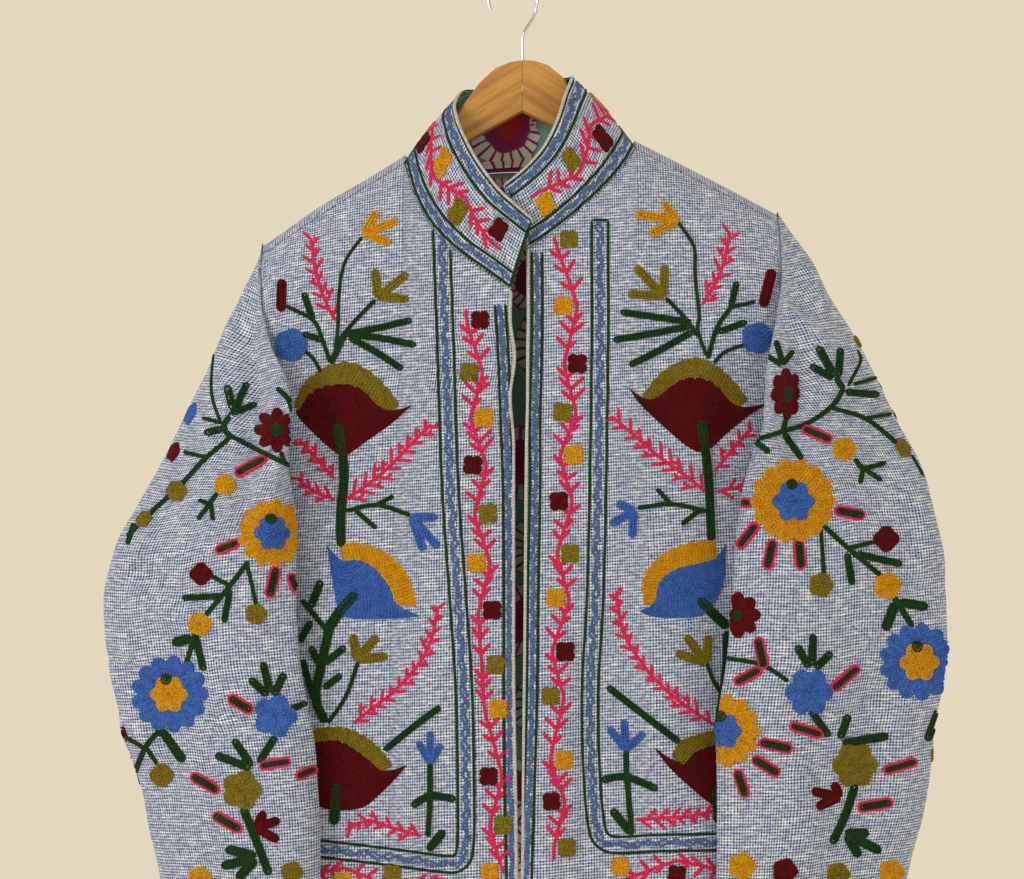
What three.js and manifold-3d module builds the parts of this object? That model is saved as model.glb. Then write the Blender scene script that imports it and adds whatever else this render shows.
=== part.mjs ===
// Embroidered open-front jacket with a stand collar, hanging on a wooden hanger.
// Millimetres. X runs to the viewer's right, Y away from the viewer, Z up.
// Left and right are the viewer's. The origin is the inside top of the hook.
import * as THREE from "three";
import Module from "manifold-3d";

// Cloth and seams
const WALL = 2;
const LINING_WALL = 1;
const SEAM = 0.3;
const SEAM_STEP = 0.6;
const ARMHOLE_SEAM = 1;
const HALF = 0.5;

// How the whole jacket hangs: lower on the left, and a little right of the hook
const LEAN = 0.06;
const HANG_OFFSET = 6.3;

// Body
const HEM_Z = -860;
const NECK_X = 105;
const NECK_Z = -157;
const NECK_RISE = 7;
const SHOULDER_SLOPE = 0.58;
const SHOULDER_X = 235;
const SHOULDER_SEAM_DROP = 9;
const RIDGE_HEIGHT = 120;
const ARMHOLE_DEPTH = 40;
const ARMHOLE_MIDDLE_Z = -349.5;
const UNDERARM_Z = -469.5;
const FRONT_DEPTH = 60;
const BACK_DEPTH = 46;
const PROFILE_POWER = 2.2;
const LAP = 8;
const LAP_REACH = 70;
const LAP_X = -7;
const LAP_Z = -291;
const HEM_WAVE = 4;
const HEM_WAVE_RISE = 420;
const HEM_WAVE_LENGTH = 150;
const PANEL_ROWS = 16;
const BACK_ROWS = 17;
const ROW_POWER = 1.4;

// Half width of the body by height
const SIDE_ROWS = [
  { z: -900, halfWidth: 270 },
  { z: -700, halfWidth: 266 },
  { z: -560, halfWidth: 260 },
  { z: -469.5, halfWidth: 254 },
  { z: -400, halfWidth: 246 },
  { z: -330, halfWidth: 239 },
  { z: -229.5, halfWidth: 235 },
  { z: -100, halfWidth: 235 },
];

// Distance of each front edge from the middle line, by height
const FRONT_EDGE_ROWS = [
  { z: -900, left: 3, right: 2 },
  { z: -800, left: 3.5, right: 2.5 },
  { z: -600, left: 6, right: 4.5 },
  { z: -430, left: 6, right: 6 },
  { z: -385, left: 9, right: 7 },
  { z: -350, left: 5, right: 7 },
  { z: -315, left: 9, right: 7.5 },
  { z: -250, left: 7, right: 7 },
  { z: -100, left: 7, right: 7 },
];

// Columns of the panels, as distances from the middle line at their top
const FRONT_COLUMNS = [7, 30, 55, 80, 96, 105, 132, 162, 190, 212, 227, 235];
const NECK_COLUMNS = 6;
const BACK_COLUMNS = [0, 25, 50, 75, 92, 101, 105, 132, 162, 190, 212, 227, 235];

// Height of the front neckline by distance from the middle line
const NECKLINE_ROWS = [
  { x: 7, left: -291, right: -254 },
  { x: 30, left: -273, right: -240 },
  { x: 55, left: -254, right: -221 },
  { x: 80, left: -228, right: -199 },
  { x: 96, left: -197, right: -181 },
  { x: 105, left: -166, right: -166 },
];

// Where the back's cloth begins, along its way over the shoulder ridge
const BACK_TOP_ROWS = [
  { x: 0, along: 82 },
  { x: 50, along: 76 },
  { x: 75, along: 60 },
  { x: 92, along: 34 },
  { x: 101, along: 0 },
  { x: 105, along: -46 },
];

// Top edge of the collar at its columns, counted from the left end round the back to the right end
const COLLAR_TOP_ROWS = [
  { at: 0, x: 11, y: -67, z: -229 },
  { at: 1, x: -4, y: -67, z: -215 },
  { at: 2, x: -18, y: -65, z: -201 },
  { at: 3, x: -42, y: -54, z: -166 },
  { at: 4, x: -58, y: -38, z: -130 },
  { at: 5, x: -60, y: -18, z: -118 },
  { at: 6, x: -58, y: -2, z: -109 },
  { at: 8, x: -48, y: 16, z: -100 },
  { at: 11, x: 0, y: 28, z: -104 },
  { at: 14, x: 42, y: 16, z: -94 },
  { at: 16, x: 49, y: -2, z: -94 },
  { at: 17, x: 48, y: -16, z: -98 },
  { at: 18, x: 42, y: -30, z: -113 },
  { at: 19, x: 34, y: -44, z: -138 },
  { at: 20, x: 22, y: -50, z: -162 },
  { at: 21, x: 6, y: -52, z: -180 },
  { at: 22, x: -15, y: -52, z: -196 },
];
const COLLAR_ROWS = 5;
const COLLAR_BULGE = 3;
const FACING_MARGIN = 0.05;

// Lining of the back, which shows in the neck and between the fronts
const LINING_COLUMNS = [0, 25, 50, 75, 98, 132, 162, 190, 212];
const LINING_ROWS = 15;
const LINING_GAP = 2.5;
const LINING_HEM_STEP = 18;
const LINING_TOP_ROWS = [
  { x: 0, along: 86 },
  { x: 50, along: 80 },
  { x: 75, along: 66 },
  { x: 101, along: 60 },
  { x: 132, along: 48 },
  { x: 235, along: 48 },
];

// Sleeves: distance of the outer and inner edges from the middle line, by height
const SLEEVES = {
  left: {
    side: -1,
    topZ: -505,
    cuffZ: -837,
    shoulderOut: 30,
    foldIn: -270,
    rows: [
      { z: -890, outer: 318, inner: 179 },
      { z: -800, outer: 328, inner: 179 },
      { z: -762, outer: 337, inner: 179 },
      { z: -727, outer: 343, inner: 181 },
      { z: -692, outer: 353, inner: 183 },
      { z: -646, outer: 366, inner: 191 },
      { z: -599, outer: 376, inner: 198 },
      { z: -548, outer: 379, inner: 200 },
      { z: -514, outer: 372, inner: 200 },
      { z: -471, outer: 350, inner: 200 },
      { z: -431, outer: 325, inner: 201 },
    ],
  },
  right: {
    side: 1,
    topZ: -515,
    cuffZ: -867,
    shoulderOut: 120,
    foldIn: -180,
    rows: [
      { z: -890, outer: 344, inner: 175 },
      { z: -826, outer: 356, inner: 175 },
      { z: -785, outer: 367, inner: 175 },
      { z: -754, outer: 373, inner: 175 },
      { z: -706, outer: 378, inner: 175 },
      { z: -671, outer: 385, inner: 178 },
      { z: -634, outer: 389, inner: 184 },
      { z: -574, outer: 387, inner: 189 },
      { z: -526, outer: 380, inner: 193 },
      { z: -471, outer: 363, inner: 203 },
      { z: -431, outer: 346, inner: 211 },
    ],
  },
};
const SLEEVE_AROUND = 26;
const CAP_RINGS = 8;
const SLEEVE_RINGS = 10;
const SLEEVE_HALF_DEPTH = 29;
const CUFF_HALF_DEPTH = 24;
const SLEEVE_OUTER_Y = -20;
const SLEEVE_TILT = 0.25;
const SLEEVE_CLEAR = 5;
const CAP_REACH = 240;

// Turn round the hanging sleeve for each turn round the armhole, in degrees from its outer edge
const TURN_ROWS = [
  { armhole: 0, sleeve: 0 },
  { armhole: 90, sleeve: 100 },
  { armhole: 135, sleeve: 178 },
  { armhole: 180, sleeve: 248 },
  { armhole: 270, sleeve: 308 },
  { armhole: 360, sleeve: 360 },
];

// Which way the sleeve leaves the armhole: shares of its shoulder and fold, and its own y and z
const CAP_ROWS = [
  { armhole: 0, shoulder: 1, fold: 0, y: 0, z: -200 },
  { armhole: 45, shoulder: 0.4, fold: 0.25, y: -150, z: -170 },
  { armhole: 90, shoulder: 0, fold: 1, y: -270, z: -90 },
  { armhole: 135, shoulder: 0, fold: 0.35, y: -250, z: -20 },
  { armhole: 160, shoulder: 0.5, fold: 0, y: -240, z: 0 },
  { armhole: 180, shoulder: 1.2, fold: 0, y: -90, z: -50 },
  { armhole: 225, shoulder: 1, fold: 0, y: 60, z: -60 },
  { armhole: 270, shoulder: 1.3, fold: 0, y: 70, z: -120 },
  { armhole: 315, shoulder: 1.3, fold: 0, y: 40, z: -180 },
  { armhole: 360, shoulder: 1, fold: 0, y: 0, z: -200 },
];

// Hanger
const MITRE_X = 2.3;
const WOOD_THICKNESS = 13;
const WOOD_BEVEL = 2;
const WOOD_MIDDLE_Z = -100;
const WOOD_TOP = [
  { x: 0, z: -77 },
  { x: 12, z: -78.5 },
  { x: 24, z: -83 },
  { x: 38, z: -95 },
  { x: 56, z: -119 },
  { x: 72, z: -139 },
  { x: 88, z: -157 },
  { x: 104, z: -166 },
  { x: 130, z: -177 },
  { x: 160, z: -194 },
  { x: 212, z: -224 },
];
const WOOD_BOTTOM = [
  { x: 216, z: -229 },
  { x: 212, z: -238 },
  { x: 160, z: -212 },
  { x: 105, z: -185 },
  { x: 56, z: -153 },
  { x: 0, z: -125 },
];
const WIRE_RADIUS = 1.3;
const BORE_RADIUS = 1.6;
const BORE_DEPTH = 24;
const WIRE_SIDES = 8;
const BORE_SIDES = 12;
const BORE_OVERSHOOT = 10;
const LOOP_RADIUS = 22.5;
const LOOP_X = -6.3;
const LOOP_START = -20;
const LOOP_END = 206;
const LOOP_STEPS = 18;
const STEM_ROWS = [
  { x: 2.3, z: -99 },
  { x: 2.3, z: -80 },
  { x: 2.3, z: -56 },
  { x: 3.6, z: -51 },
  { x: 12.6, z: -38 },
  { x: 14.3, z: -33.5 },
];

const COLORS = {
  cloth: 0xacb8d0,
  lining: 0x8fb9b4,
  wood: 0xc89146,
  wire: 0xc9ccd0,
};
const CLOTH_ROUGHNESS = 0.9;
const LINING_ROUGHNESS = 0.8;
const WOOD_ROUGHNESS = 0.4;
const WIRE_ROUGHNESS = 0.2;

const TAU = 2 * Math.PI;
const radians = (degrees) => (degrees * Math.PI) / 180;
const mix = (a, b, t) => a + (b - a) * t;
const clamp = (value, low, high) => Math.min(Math.max(value, low), high);
const ease = (t) => t * t * (3 - 2 * t);

// Slope of a smooth curve at each row of a table, without overshoot
function slopesOf(xs, ys) {
  const steps = xs.slice(1).map((x, i) => (ys[i + 1] - ys[i]) / (x - xs[i]));
  return xs.map((_, i) => {
    if (i === 0) return steps[0];
    if (i === xs.length - 1) return steps[steps.length - 1];
    const before = steps[i - 1];
    const after = steps[i];
    return before * after > 0 ? (2 * before * after) / (before + after) : 0;
  });
}

// A smooth function through one column of a table
function curve(rows, key, column) {
  const sorted = [...rows].sort((a, b) => a[key] - b[key]);
  const xs = sorted.map((row) => row[key]);
  const ys = sorted.map((row) => row[column]);
  const slopes = slopesOf(xs, ys);
  return (value) => {
    const x = clamp(value, xs[0], xs[xs.length - 1]);
    let i = 0;
    while (i < xs.length - 2 && x > xs[i + 1]) i += 1;
    const width = xs[i + 1] - xs[i];
    const t = (x - xs[i]) / width;
    return hermite(ys[i], ys[i + 1], slopes[i] * width, slopes[i + 1] * width, t);
  };
}

function hermite(start, end, leave, arrive, t) {
  const t2 = t * t;
  const t3 = t2 * t;
  const fromStart = 2 * t3 - 3 * t2 + 1;
  return fromStart * start + (1 - fromStart) * end + (t3 - 2 * t2 + t) * leave + (t3 - t2) * arrive;
}

const halfWidth = curve(SIDE_ROWS, "z", "halfWidth");
const frontEdge = {
  left: curve(FRONT_EDGE_ROWS, "z", "left"),
  right: curve(FRONT_EDGE_ROWS, "z", "right"),
};
const neckline = {
  left: curve(NECKLINE_ROWS, "x", "left"),
  right: curve(NECKLINE_ROWS, "x", "right"),
};
const backTop = curve(BACK_TOP_ROWS, "x", "along");
const liningTop = curve(LINING_TOP_ROWS, "x", "along");

// Height of the shoulder ridge, which runs on level over the neck
function ridge(x) {
  const away = Math.abs(x);
  if (away > NECK_X) return NECK_Z - SHOULDER_SLOPE * (away - NECK_X);
  return NECK_Z + NECK_RISE * ease(1 - away / NECK_X);
}

// The cloth's way over the ridge: `along` is negative in front of it and positive behind
function overRidge(along) {
  const quarter = (RIDGE_HEIGHT * Math.PI) / 2;
  const far = Math.abs(along);
  const angle = Math.min(far, quarter) / RIDGE_HEIGHT;
  return {
    drop: RIDGE_HEIGHT * (1 - Math.cos(angle)) + Math.max(far - quarter, 0),
    depth: Math.sign(along) * Math.sin(angle),
  };
}

function alongFor(drop) {
  if (drop >= RIDGE_HEIGHT) return (RIDGE_HEIGHT * Math.PI) / 2 + drop - RIDGE_HEIGHT;
  return RIDGE_HEIGHT * Math.acos(1 - drop / RIDGE_HEIGHT);
}

// Half depth of the armhole above the underarm, and of the side seam below it
function edgeDepth(z) {
  if (z >= ARMHOLE_MIDDLE_Z) return ARMHOLE_DEPTH;
  const part = (ARMHOLE_MIDDLE_Z - z) / (ARMHOLE_MIDDLE_Z - UNDERARM_Z);
  const round = Math.sqrt(Math.max(1 - part * part, 0));
  return Math.max(ARMHOLE_DEPTH * round, SEAM * HALF);
}

// Distance of the body's outer surface from the middle plane, before the ridge rounds it
function bodyDepth(x, z, middleDepth) {
  const share = clamp(Math.abs(x) / halfWidth(z), 0, 1);
  const round = (1 - share ** PROFILE_POWER) ** (1 / PROFILE_POWER);
  const edge = edgeDepth(z);
  return edge + (middleDepth - edge) * round;
}

// Soft waves that grow towards the hem and die out at the side seams
function hemWave(x, z) {
  const low = clamp((HEM_Z + HEM_WAVE_RISE - z) / HEM_WAVE_RISE, 0, 1);
  const inside = 1 - clamp(Math.abs(x) / halfWidth(z), 0, 1) ** 4;
  return HEM_WAVE * ease(low) * inside * Math.sin((TAU * x) / HEM_WAVE_LENGTH + 1);
}

// The left front stands forward under the collar's lapped end
function lap(x, z) {
  const across = ease(clamp(1 - Math.abs(x - LAP_X) / LAP_REACH, 0, 1));
  const down = ease(clamp(1 - Math.abs(z - LAP_Z) / LAP_REACH, 0, 1));
  return LAP * across * down;
}

// A point of the body's outer surface, for a column named by its distance at the top
function bodyPoint(sideSign, column, along, first, edge) {
  const over = overRidge(along);
  const z = ridge(column) - over.drop;
  const share = (column - first) / (SHOULDER_X - first);
  const start = edge ? edge(z) : first;
  const x = sideSign * mix(start, halfWidth(z), share);
  const middle = along < 0 ? FRONT_DEPTH : BACK_DEPTH;
  const wave = along < 0 ? -hemWave(x, z) : hemWave(x, z);
  const forward = along < 0 && x < 0 ? lap(x, z) : 0;
  return new THREE.Vector3(x, bodyDepth(x, z, middle) * over.depth + wave - forward, z);
}

// The depth of the front at a place, as a positive distance
function frontDepthAt(x, z) {
  const along = alongFor(Math.max(ridge(x) - z, 0));
  return bodyDepth(x, z, FRONT_DEPTH) * overRidge(along).depth + Math.abs(HEM_WAVE);
}

function gridOf(rows, columns, point) {
  return Array.from({ length: rows }, (_, r) => Array.from({ length: columns }, (_, c) => point(r, c)));
}

function neighbour(index, step, count, around) {
  if (around) return (index + step + count) % count;
  return clamp(index + step, 0, count - 1);
}

// Unit normals of a grid; `turn` is 1 or -1, to point out of the cloth
function normalsOf(grid, turn, around) {
  const rows = grid.length;
  const columns = grid[0].length;
  return gridOf(rows, columns, (r, c) => {
    const above = grid[neighbour(r, -1, rows, false)][c];
    const below = grid[neighbour(r, 1, rows, false)][c];
    const before = grid[r][neighbour(c, -1, columns, around)];
    const after = grid[r][neighbour(c, 1, columns, around)];
    const down = below.clone().sub(above);
    const across = after.clone().sub(before);
    return down.cross(across).normalize().multiplyScalar(turn);
  });
}

function offsetGrid(grid, normals, distance) {
  return grid.map((row, r) => row.map((p, c) => p.clone().addScaledVector(normals[r][c], distance)));
}

// How the jacket hangs
function hang(point) {
  return new THREE.Vector3(point.x + HANG_OFFSET, point.y, point.z + LEAN * point.x);
}

function signedVolume(positions, indices) {
  const corner = (i) => new THREE.Vector3().fromArray(positions, 3 * indices[i]);
  let total = 0;
  for (let i = 0; i < indices.length; i += 3) {
    total += corner(i).dot(corner(i + 1).cross(corner(i + 2)));
  }
  return total / 6;
}

function closedGeometry(points, faces) {
  const positions = points.flatMap((p) => [p.x, p.y, p.z]);
  const flipped = signedVolume(positions, faces.flat()) < 0;
  const indices = faces.flatMap(([a, b, c]) => (flipped ? [a, c, b] : [a, b, c]));
  const geometry = new THREE.BufferGeometry();
  geometry.setAttribute("position", new THREE.Float32BufferAttribute(positions, 3));
  geometry.setIndex(indices);
  return geometry;
}

function quad(faces, a, b, c, d) {
  faces.push([a, b, c], [a, c, d]);
}

// A closed wall between an outer and an inner grid, open or running round
function wall(outer, inner, around) {
  const rows = outer.length;
  const columns = outer[0].length;
  const points = [...outer.flat(), ...inner.flat()].map(hang);
  const at = (layer, r, c) => layer * rows * columns + r * columns + (c % columns);
  const faces = [];
  const lastColumn = around ? columns : columns - 1;
  for (let r = 0; r < rows - 1; r += 1) {
    for (let c = 0; c < lastColumn; c += 1) {
      quad(faces, at(0, r, c), at(0, r, c + 1), at(0, r + 1, c + 1), at(0, r + 1, c));
      quad(faces, at(1, r, c), at(1, r + 1, c), at(1, r + 1, c + 1), at(1, r, c + 1));
    }
  }
  for (let c = 0; c < lastColumn; c += 1) {
    quad(faces, at(0, 0, c + 1), at(0, 0, c), at(1, 0, c), at(1, 0, c + 1));
    const end = rows - 1;
    quad(faces, at(0, end, c), at(0, end, c + 1), at(1, end, c + 1), at(1, end, c));
  }
  if (!around) {
    for (let r = 0; r < rows - 1; r += 1) {
      quad(faces, at(0, r, 0), at(0, r + 1, 0), at(1, r + 1, 0), at(1, r, 0));
      const end = columns - 1;
      quad(faces, at(0, r + 1, end), at(0, r, end), at(1, r, end), at(1, r + 1, end));
    }
  }
  return closedGeometry(points, faces);
}

// A front runs from its neckline and the shoulder seam to the hem
function frontTop(name, column) {
  const seam = ridge(column) - SHOULDER_SEAM_DROP - SEAM;
  return column < NECK_X ? Math.min(neckline[name](column), seam) : seam;
}

function frontGrid(name) {
  const sign = name === "left" ? -1 : 1;
  const [first] = FRONT_COLUMNS;
  return gridOf(PANEL_ROWS, FRONT_COLUMNS.length, (r, c) => {
    const column = FRONT_COLUMNS[c];
    const top = alongFor(ridge(column) - frontTop(name, column));
    const end = alongFor(ridge(column) - HEM_Z);
    const along = mix(top, end, (r / (PANEL_ROWS - 1)) ** ROW_POWER);
    return bodyPoint(sign, column, -along, first, frontEdge[name]);
  });
}

function frontPanel(name) {
  const grid = frontGrid(name);
  const normals = normalsOf(grid, name === "left" ? -1 : 1, false);
  return wall(grid, keptBehindSeam(offsetGrid(grid, normals, -WALL), -1), false);
}

function mirroredColumns(columns) {
  const half = columns.filter((x) => x > 0);
  return [...half.map((x) => -x).reverse(), 0, ...half];
}

function backGrid(columns, rows, topOf, hemStep) {
  const both = mirroredColumns(columns);
  return gridOf(rows, both.length, (r, c) => {
    const column = Math.abs(both[c]);
    const end = alongFor(ridge(column) - HEM_Z) - hemStep;
    const along = mix(topOf(column), end, (r / (rows - 1)) ** ROW_POWER);
    return bodyPoint(Math.sign(both[c]) || 1, column, along, 0, null);
  });
}

// The back's cloth comes over the ridge to the shoulder seam, and begins at the neckline between
function backStart(column) {
  return column < NECK_X ? backTop(column) : -alongFor(SHOULDER_SEAM_DROP - SEAM);
}

// Keeps a panel's inner face on its own side of the side seam
function keptBehindSeam(grid, side) {
  const nearest = SEAM * HALF;
  return grid.map((row) =>
    row.map((p) => {
      const y = p.z < UNDERARM_Z ? side * Math.max(side * p.y, nearest) : p.y;
      return new THREE.Vector3(p.x, y, p.z);
    }),
  );
}

function backPanel() {
  const grid = backGrid(BACK_COLUMNS, BACK_ROWS, backStart, 0);
  const normals = normalsOf(grid, -1, false);
  return wall(grid, keptBehindSeam(offsetGrid(grid, normals, -WALL), 1), false);
}

function backLining() {
  const grid = backGrid(LINING_COLUMNS, LINING_ROWS, liningTop, LINING_HEM_STEP);
  const normals = normalsOf(grid, -1, false);
  const near = offsetGrid(grid, normals, -WALL - LINING_GAP);
  return wall(near, offsetGrid(near, normals, -LINING_WALL), false);
}

// The seam line on which the collar stands, from the left end round the back to the right end
function collarBase() {
  const front = (name) => frontGrid(name)[0].slice(0, NECK_COLUMNS);
  const back = backGrid(BACK_COLUMNS, BACK_ROWS, backStart, 0)[0];
  const behind = back.filter((p) => Math.abs(p.x) < NECK_X - 1);
  return [...front("left"), ...behind, ...front("right").reverse()];
}

function collarGrid() {
  const base = collarBase();
  const topX = curve(COLLAR_TOP_ROWS, "at", "x");
  const topY = curve(COLLAR_TOP_ROWS, "at", "y");
  const topZ = curve(COLLAR_TOP_ROWS, "at", "z");
  return gridOf(COLLAR_ROWS, base.length, (r, c) => {
    const top = new THREE.Vector3(topX(c), topY(c), topZ(c));
    const height = base[c].distanceTo(top);
    const share = mix(SEAM_STEP / height, 1, r / (COLLAR_ROWS - 1));
    const bulge = COLLAR_BULGE * Math.sin(Math.PI * share);
    const outward = new THREE.Vector3(base[c].x, base[c].y, 0).normalize();
    return base[c].clone().lerp(top, share).addScaledVector(outward, bulge);
  });
}

function collar() {
  const grid = collarGrid();
  const normals = normalsOf(grid, 1, false);
  return wall(grid, offsetGrid(grid, normals, -WALL), false);
}

function collarFacing() {
  const grid = collarGrid();
  const normals = normalsOf(grid, 1, false);
  const inside = offsetGrid(grid, normals, -WALL - SEAM);
  const narrower = inside.map((row, r) =>
    row.map((p, c) => {
      const share = mix(FACING_MARGIN, 1 - FACING_MARGIN, r / (COLLAR_ROWS - 1));
      return inside[0][c].clone().lerp(inside[COLLAR_ROWS - 1][c], share).sub(p);
    }),
  );
  const near = inside.map((row, r) =>
    row.map((p, c) => (r === 0 || r === COLLAR_ROWS - 1 ? p.clone().add(narrower[r][c]) : p)),
  );
  return wall(near, offsetGrid(near, normals, -LINING_WALL), false);
}

// Section of the hanging sleeve at a height, clear of the body's front
function sleevePoint(sleeve, edges, degrees, z) {
  const outer = edges.outer(z);
  const inner = edges.inner(z);
  const half = (outer - inner) * HALF;
  const angle = radians(degrees);
  const out = inner + half + half * Math.cos(angle);
  const down = clamp((sleeve.topZ - z) / (sleeve.topZ - sleeve.cuffZ), 0, 1);
  const depth = mix(SLEEVE_HALF_DEPTH, CUFF_HALF_DEPTH, down);
  const middle = SLEEVE_OUTER_Y - SLEEVE_TILT * (outer - out);
  const behind = middle + depth * Math.abs(Math.sin(angle));
  const needed = out < halfWidth(z) ? frontDepthAt(out, z) + SLEEVE_CLEAR : 0;
  const push = Math.max(needed + behind, 0);
  return new THREE.Vector3(out, middle - depth * Math.sin(angle) - push, z);
}

function armholePoint(degrees, inset) {
  const angle = radians(degrees);
  const reach = RIDGE_HEIGHT - inset;
  const z = ARMHOLE_MIDDLE_Z + reach * Math.cos(angle);
  const y = -(ARMHOLE_DEPTH - inset) * Math.sin(angle);
  return new THREE.Vector3(halfWidth(z) + ARMHOLE_SEAM, y, z);
}

function capPoint(sleeve, edges, armhole, t) {
  const turn = curve(TURN_ROWS, "armhole", "sleeve")(armhole);
  const start = armholePoint(armhole, 0);
  const end = sleevePoint(sleeve, edges, turn, sleeve.topZ);
  const below = sleevePoint(sleeve, edges, turn, sleeve.topZ - 1);
  const arrive = below.sub(end).multiplyScalar(CAP_REACH);
  const shoulder = curve(CAP_ROWS, "armhole", "shoulder")(armhole);
  const fold = curve(CAP_ROWS, "armhole", "fold")(armhole);
  const leave = {
    x: sleeve.shoulderOut * shoulder + sleeve.foldIn * fold,
    y: curve(CAP_ROWS, "armhole", "y")(armhole),
    z: curve(CAP_ROWS, "armhole", "z")(armhole),
  };
  const part = (axis) => hermite(start[axis], end[axis], leave[axis], arrive[axis], t);
  return new THREE.Vector3(part("x"), part("y"), part("z"));
}

function sleeveGrid(sleeve) {
  const edges = {
    outer: curve(sleeve.rows, "z", "outer"),
    inner: curve(sleeve.rows, "z", "inner"),
  };
  const turnOf = curve(TURN_ROWS, "armhole", "sleeve");
  return gridOf(CAP_RINGS + SLEEVE_RINGS, SLEEVE_AROUND, (r, c) => {
    const armhole = (360 * c) / SLEEVE_AROUND;
    if (r < CAP_RINGS) return capPoint(sleeve, edges, armhole, r / CAP_RINGS);
    const share = (r - CAP_RINGS) / (SLEEVE_RINGS - 1);
    return sleevePoint(sleeve, edges, turnOf(armhole), mix(sleeve.topZ, sleeve.cuffZ, share));
  });
}

function sidePoint(point, side) {
  return new THREE.Vector3(side * point.x, point.y, point.z);
}

function sleevePanel(name) {
  const sleeve = SLEEVES[name];
  const grid = sleeveGrid(sleeve);
  const normals = normalsOf(grid, -1, true);
  const inner = offsetGrid(grid, normals, -WALL);
  inner[0] = inner[0].map((_, c) => armholePoint((360 * c) / SLEEVE_AROUND, WALL));
  const placed = (points) => points.map((row) => row.map((p) => sidePoint(p, sleeve.side)));
  return wall(placed(grid), placed(inner), true);
}

// Wooden halves, mitred in the middle and bored for the hook's stem
function woodOutline(side, inset) {
  const outline = [...WOOD_TOP, ...WOOD_BOTTOM];
  const count = outline.length;
  return outline.map((p, i) => {
    const before = outline[(i + count - 1) % count];
    const after = outline[(i + 1) % count];
    const normal = new THREE.Vector2(before.z - after.z, after.x - before.x).normalize();
    const atMitre = p.x === 0;
    const away = atMitre ? SEAM * HALF : p.x - inset * normal.x;
    const height = atMitre ? p.z - inset * Math.sign(p.z - WOOD_MIDDLE_Z) : p.z - inset * normal.y;
    const shift = MITRE_X * clamp(1 - away / NECK_X, 0, 1);
    return new THREE.Vector2(shift + side * away, height);
  });
}

function woodSlab(side) {
  const full = woodOutline(side, 0);
  const small = woodOutline(side, WOOD_BEVEL);
  const face = WOOD_THICKNESS * HALF;
  const layers = [
    { outline: small, y: -face },
    { outline: full, y: -face + WOOD_BEVEL },
    { outline: full, y: face - WOOD_BEVEL },
    { outline: small, y: face },
  ];
  const count = full.length;
  const points = layers.flatMap(({ outline, y }) => outline.map((p) => hang(new THREE.Vector3(p.x, y, p.y))));
  const faces = [];
  for (let layer = 0; layer < layers.length - 1; layer += 1) {
    for (let i = 0; i < count; i += 1) {
      const next = (i + 1) % count;
      const here = layer * count;
      quad(faces, here + i, here + next, here + count + next, here + count + i);
    }
  }
  const last = (layers.length - 1) * count;
  const turned = side < 0 ? 1 : -1;
  for (const [a, b, c] of THREE.ShapeUtils.triangulateShape(small, [])) {
    const ends = turned > 0 ? [a, b, c] : [a, c, b];
    faces.push(capFace(ends, 0, small), capFace([...ends].reverse(), last, small));
  }
  return closedGeometry(points, faces);
}

// A triangle of an end face, turned to agree with the sides
function capFace(corners, offset, outline) {
  const [a, b, c] = corners.map((i) => outline[i]);
  const area = (b.x - a.x) * (c.y - a.y) - (c.x - a.x) * (b.y - a.y);
  const along = THREE.ShapeUtils.area(outline);
  const agrees = area * along > 0;
  const wanted = offset === 0 ? !agrees : agrees;
  const [i, j, k] = corners;
  return wanted ? [i + offset, j + offset, k + offset] : [i + offset, k + offset, j + offset];
}

function toManifold(wasm, geometry) {
  return new wasm.Manifold(
    new wasm.Mesh({
      numProp: 3,
      vertProperties: new Float32Array(geometry.attributes.position.array),
      triVerts: new Uint32Array(geometry.index.array),
    }),
  );
}

function fromManifold(solid) {
  const mesh = solid.getMesh();
  const geometry = new THREE.BufferGeometry();
  geometry.setAttribute("position", new THREE.BufferAttribute(mesh.vertProperties, 3));
  geometry.setIndex(new THREE.BufferAttribute(mesh.triVerts, 1));
  return geometry;
}

function woodHalf(wasm, side) {
  const [top] = WOOD_TOP;
  const middle = hang(new THREE.Vector3(MITRE_X, 0, top.z));
  const bore = wasm.Manifold.cylinder(BORE_DEPTH + BORE_OVERSHOOT, BORE_RADIUS, BORE_RADIUS, BORE_SIDES)
    .translate([middle.x, middle.y, middle.z - BORE_DEPTH]);
  return fromManifold(toManifold(wasm, woodSlab(side)).subtract(bore));
}

// The hook: its stem and a bent neck below a round open loop
function hookPath() {
  const stem = STEM_ROWS.map((p) => hang(new THREE.Vector3(p.x, 0, p.z)));
  const centreZ = WIRE_RADIUS - LOOP_RADIUS;
  const loop = Array.from({ length: LOOP_STEPS + 1 }, (_, i) => {
    const angle = radians(mix(LOOP_START, LOOP_END, i / LOOP_STEPS));
    const x = HANG_OFFSET + LOOP_X + LOOP_RADIUS * Math.cos(angle);
    return new THREE.Vector3(x, 0, centreZ + LOOP_RADIUS * Math.sin(angle));
  });
  return [...stem, ...loop];
}

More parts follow.
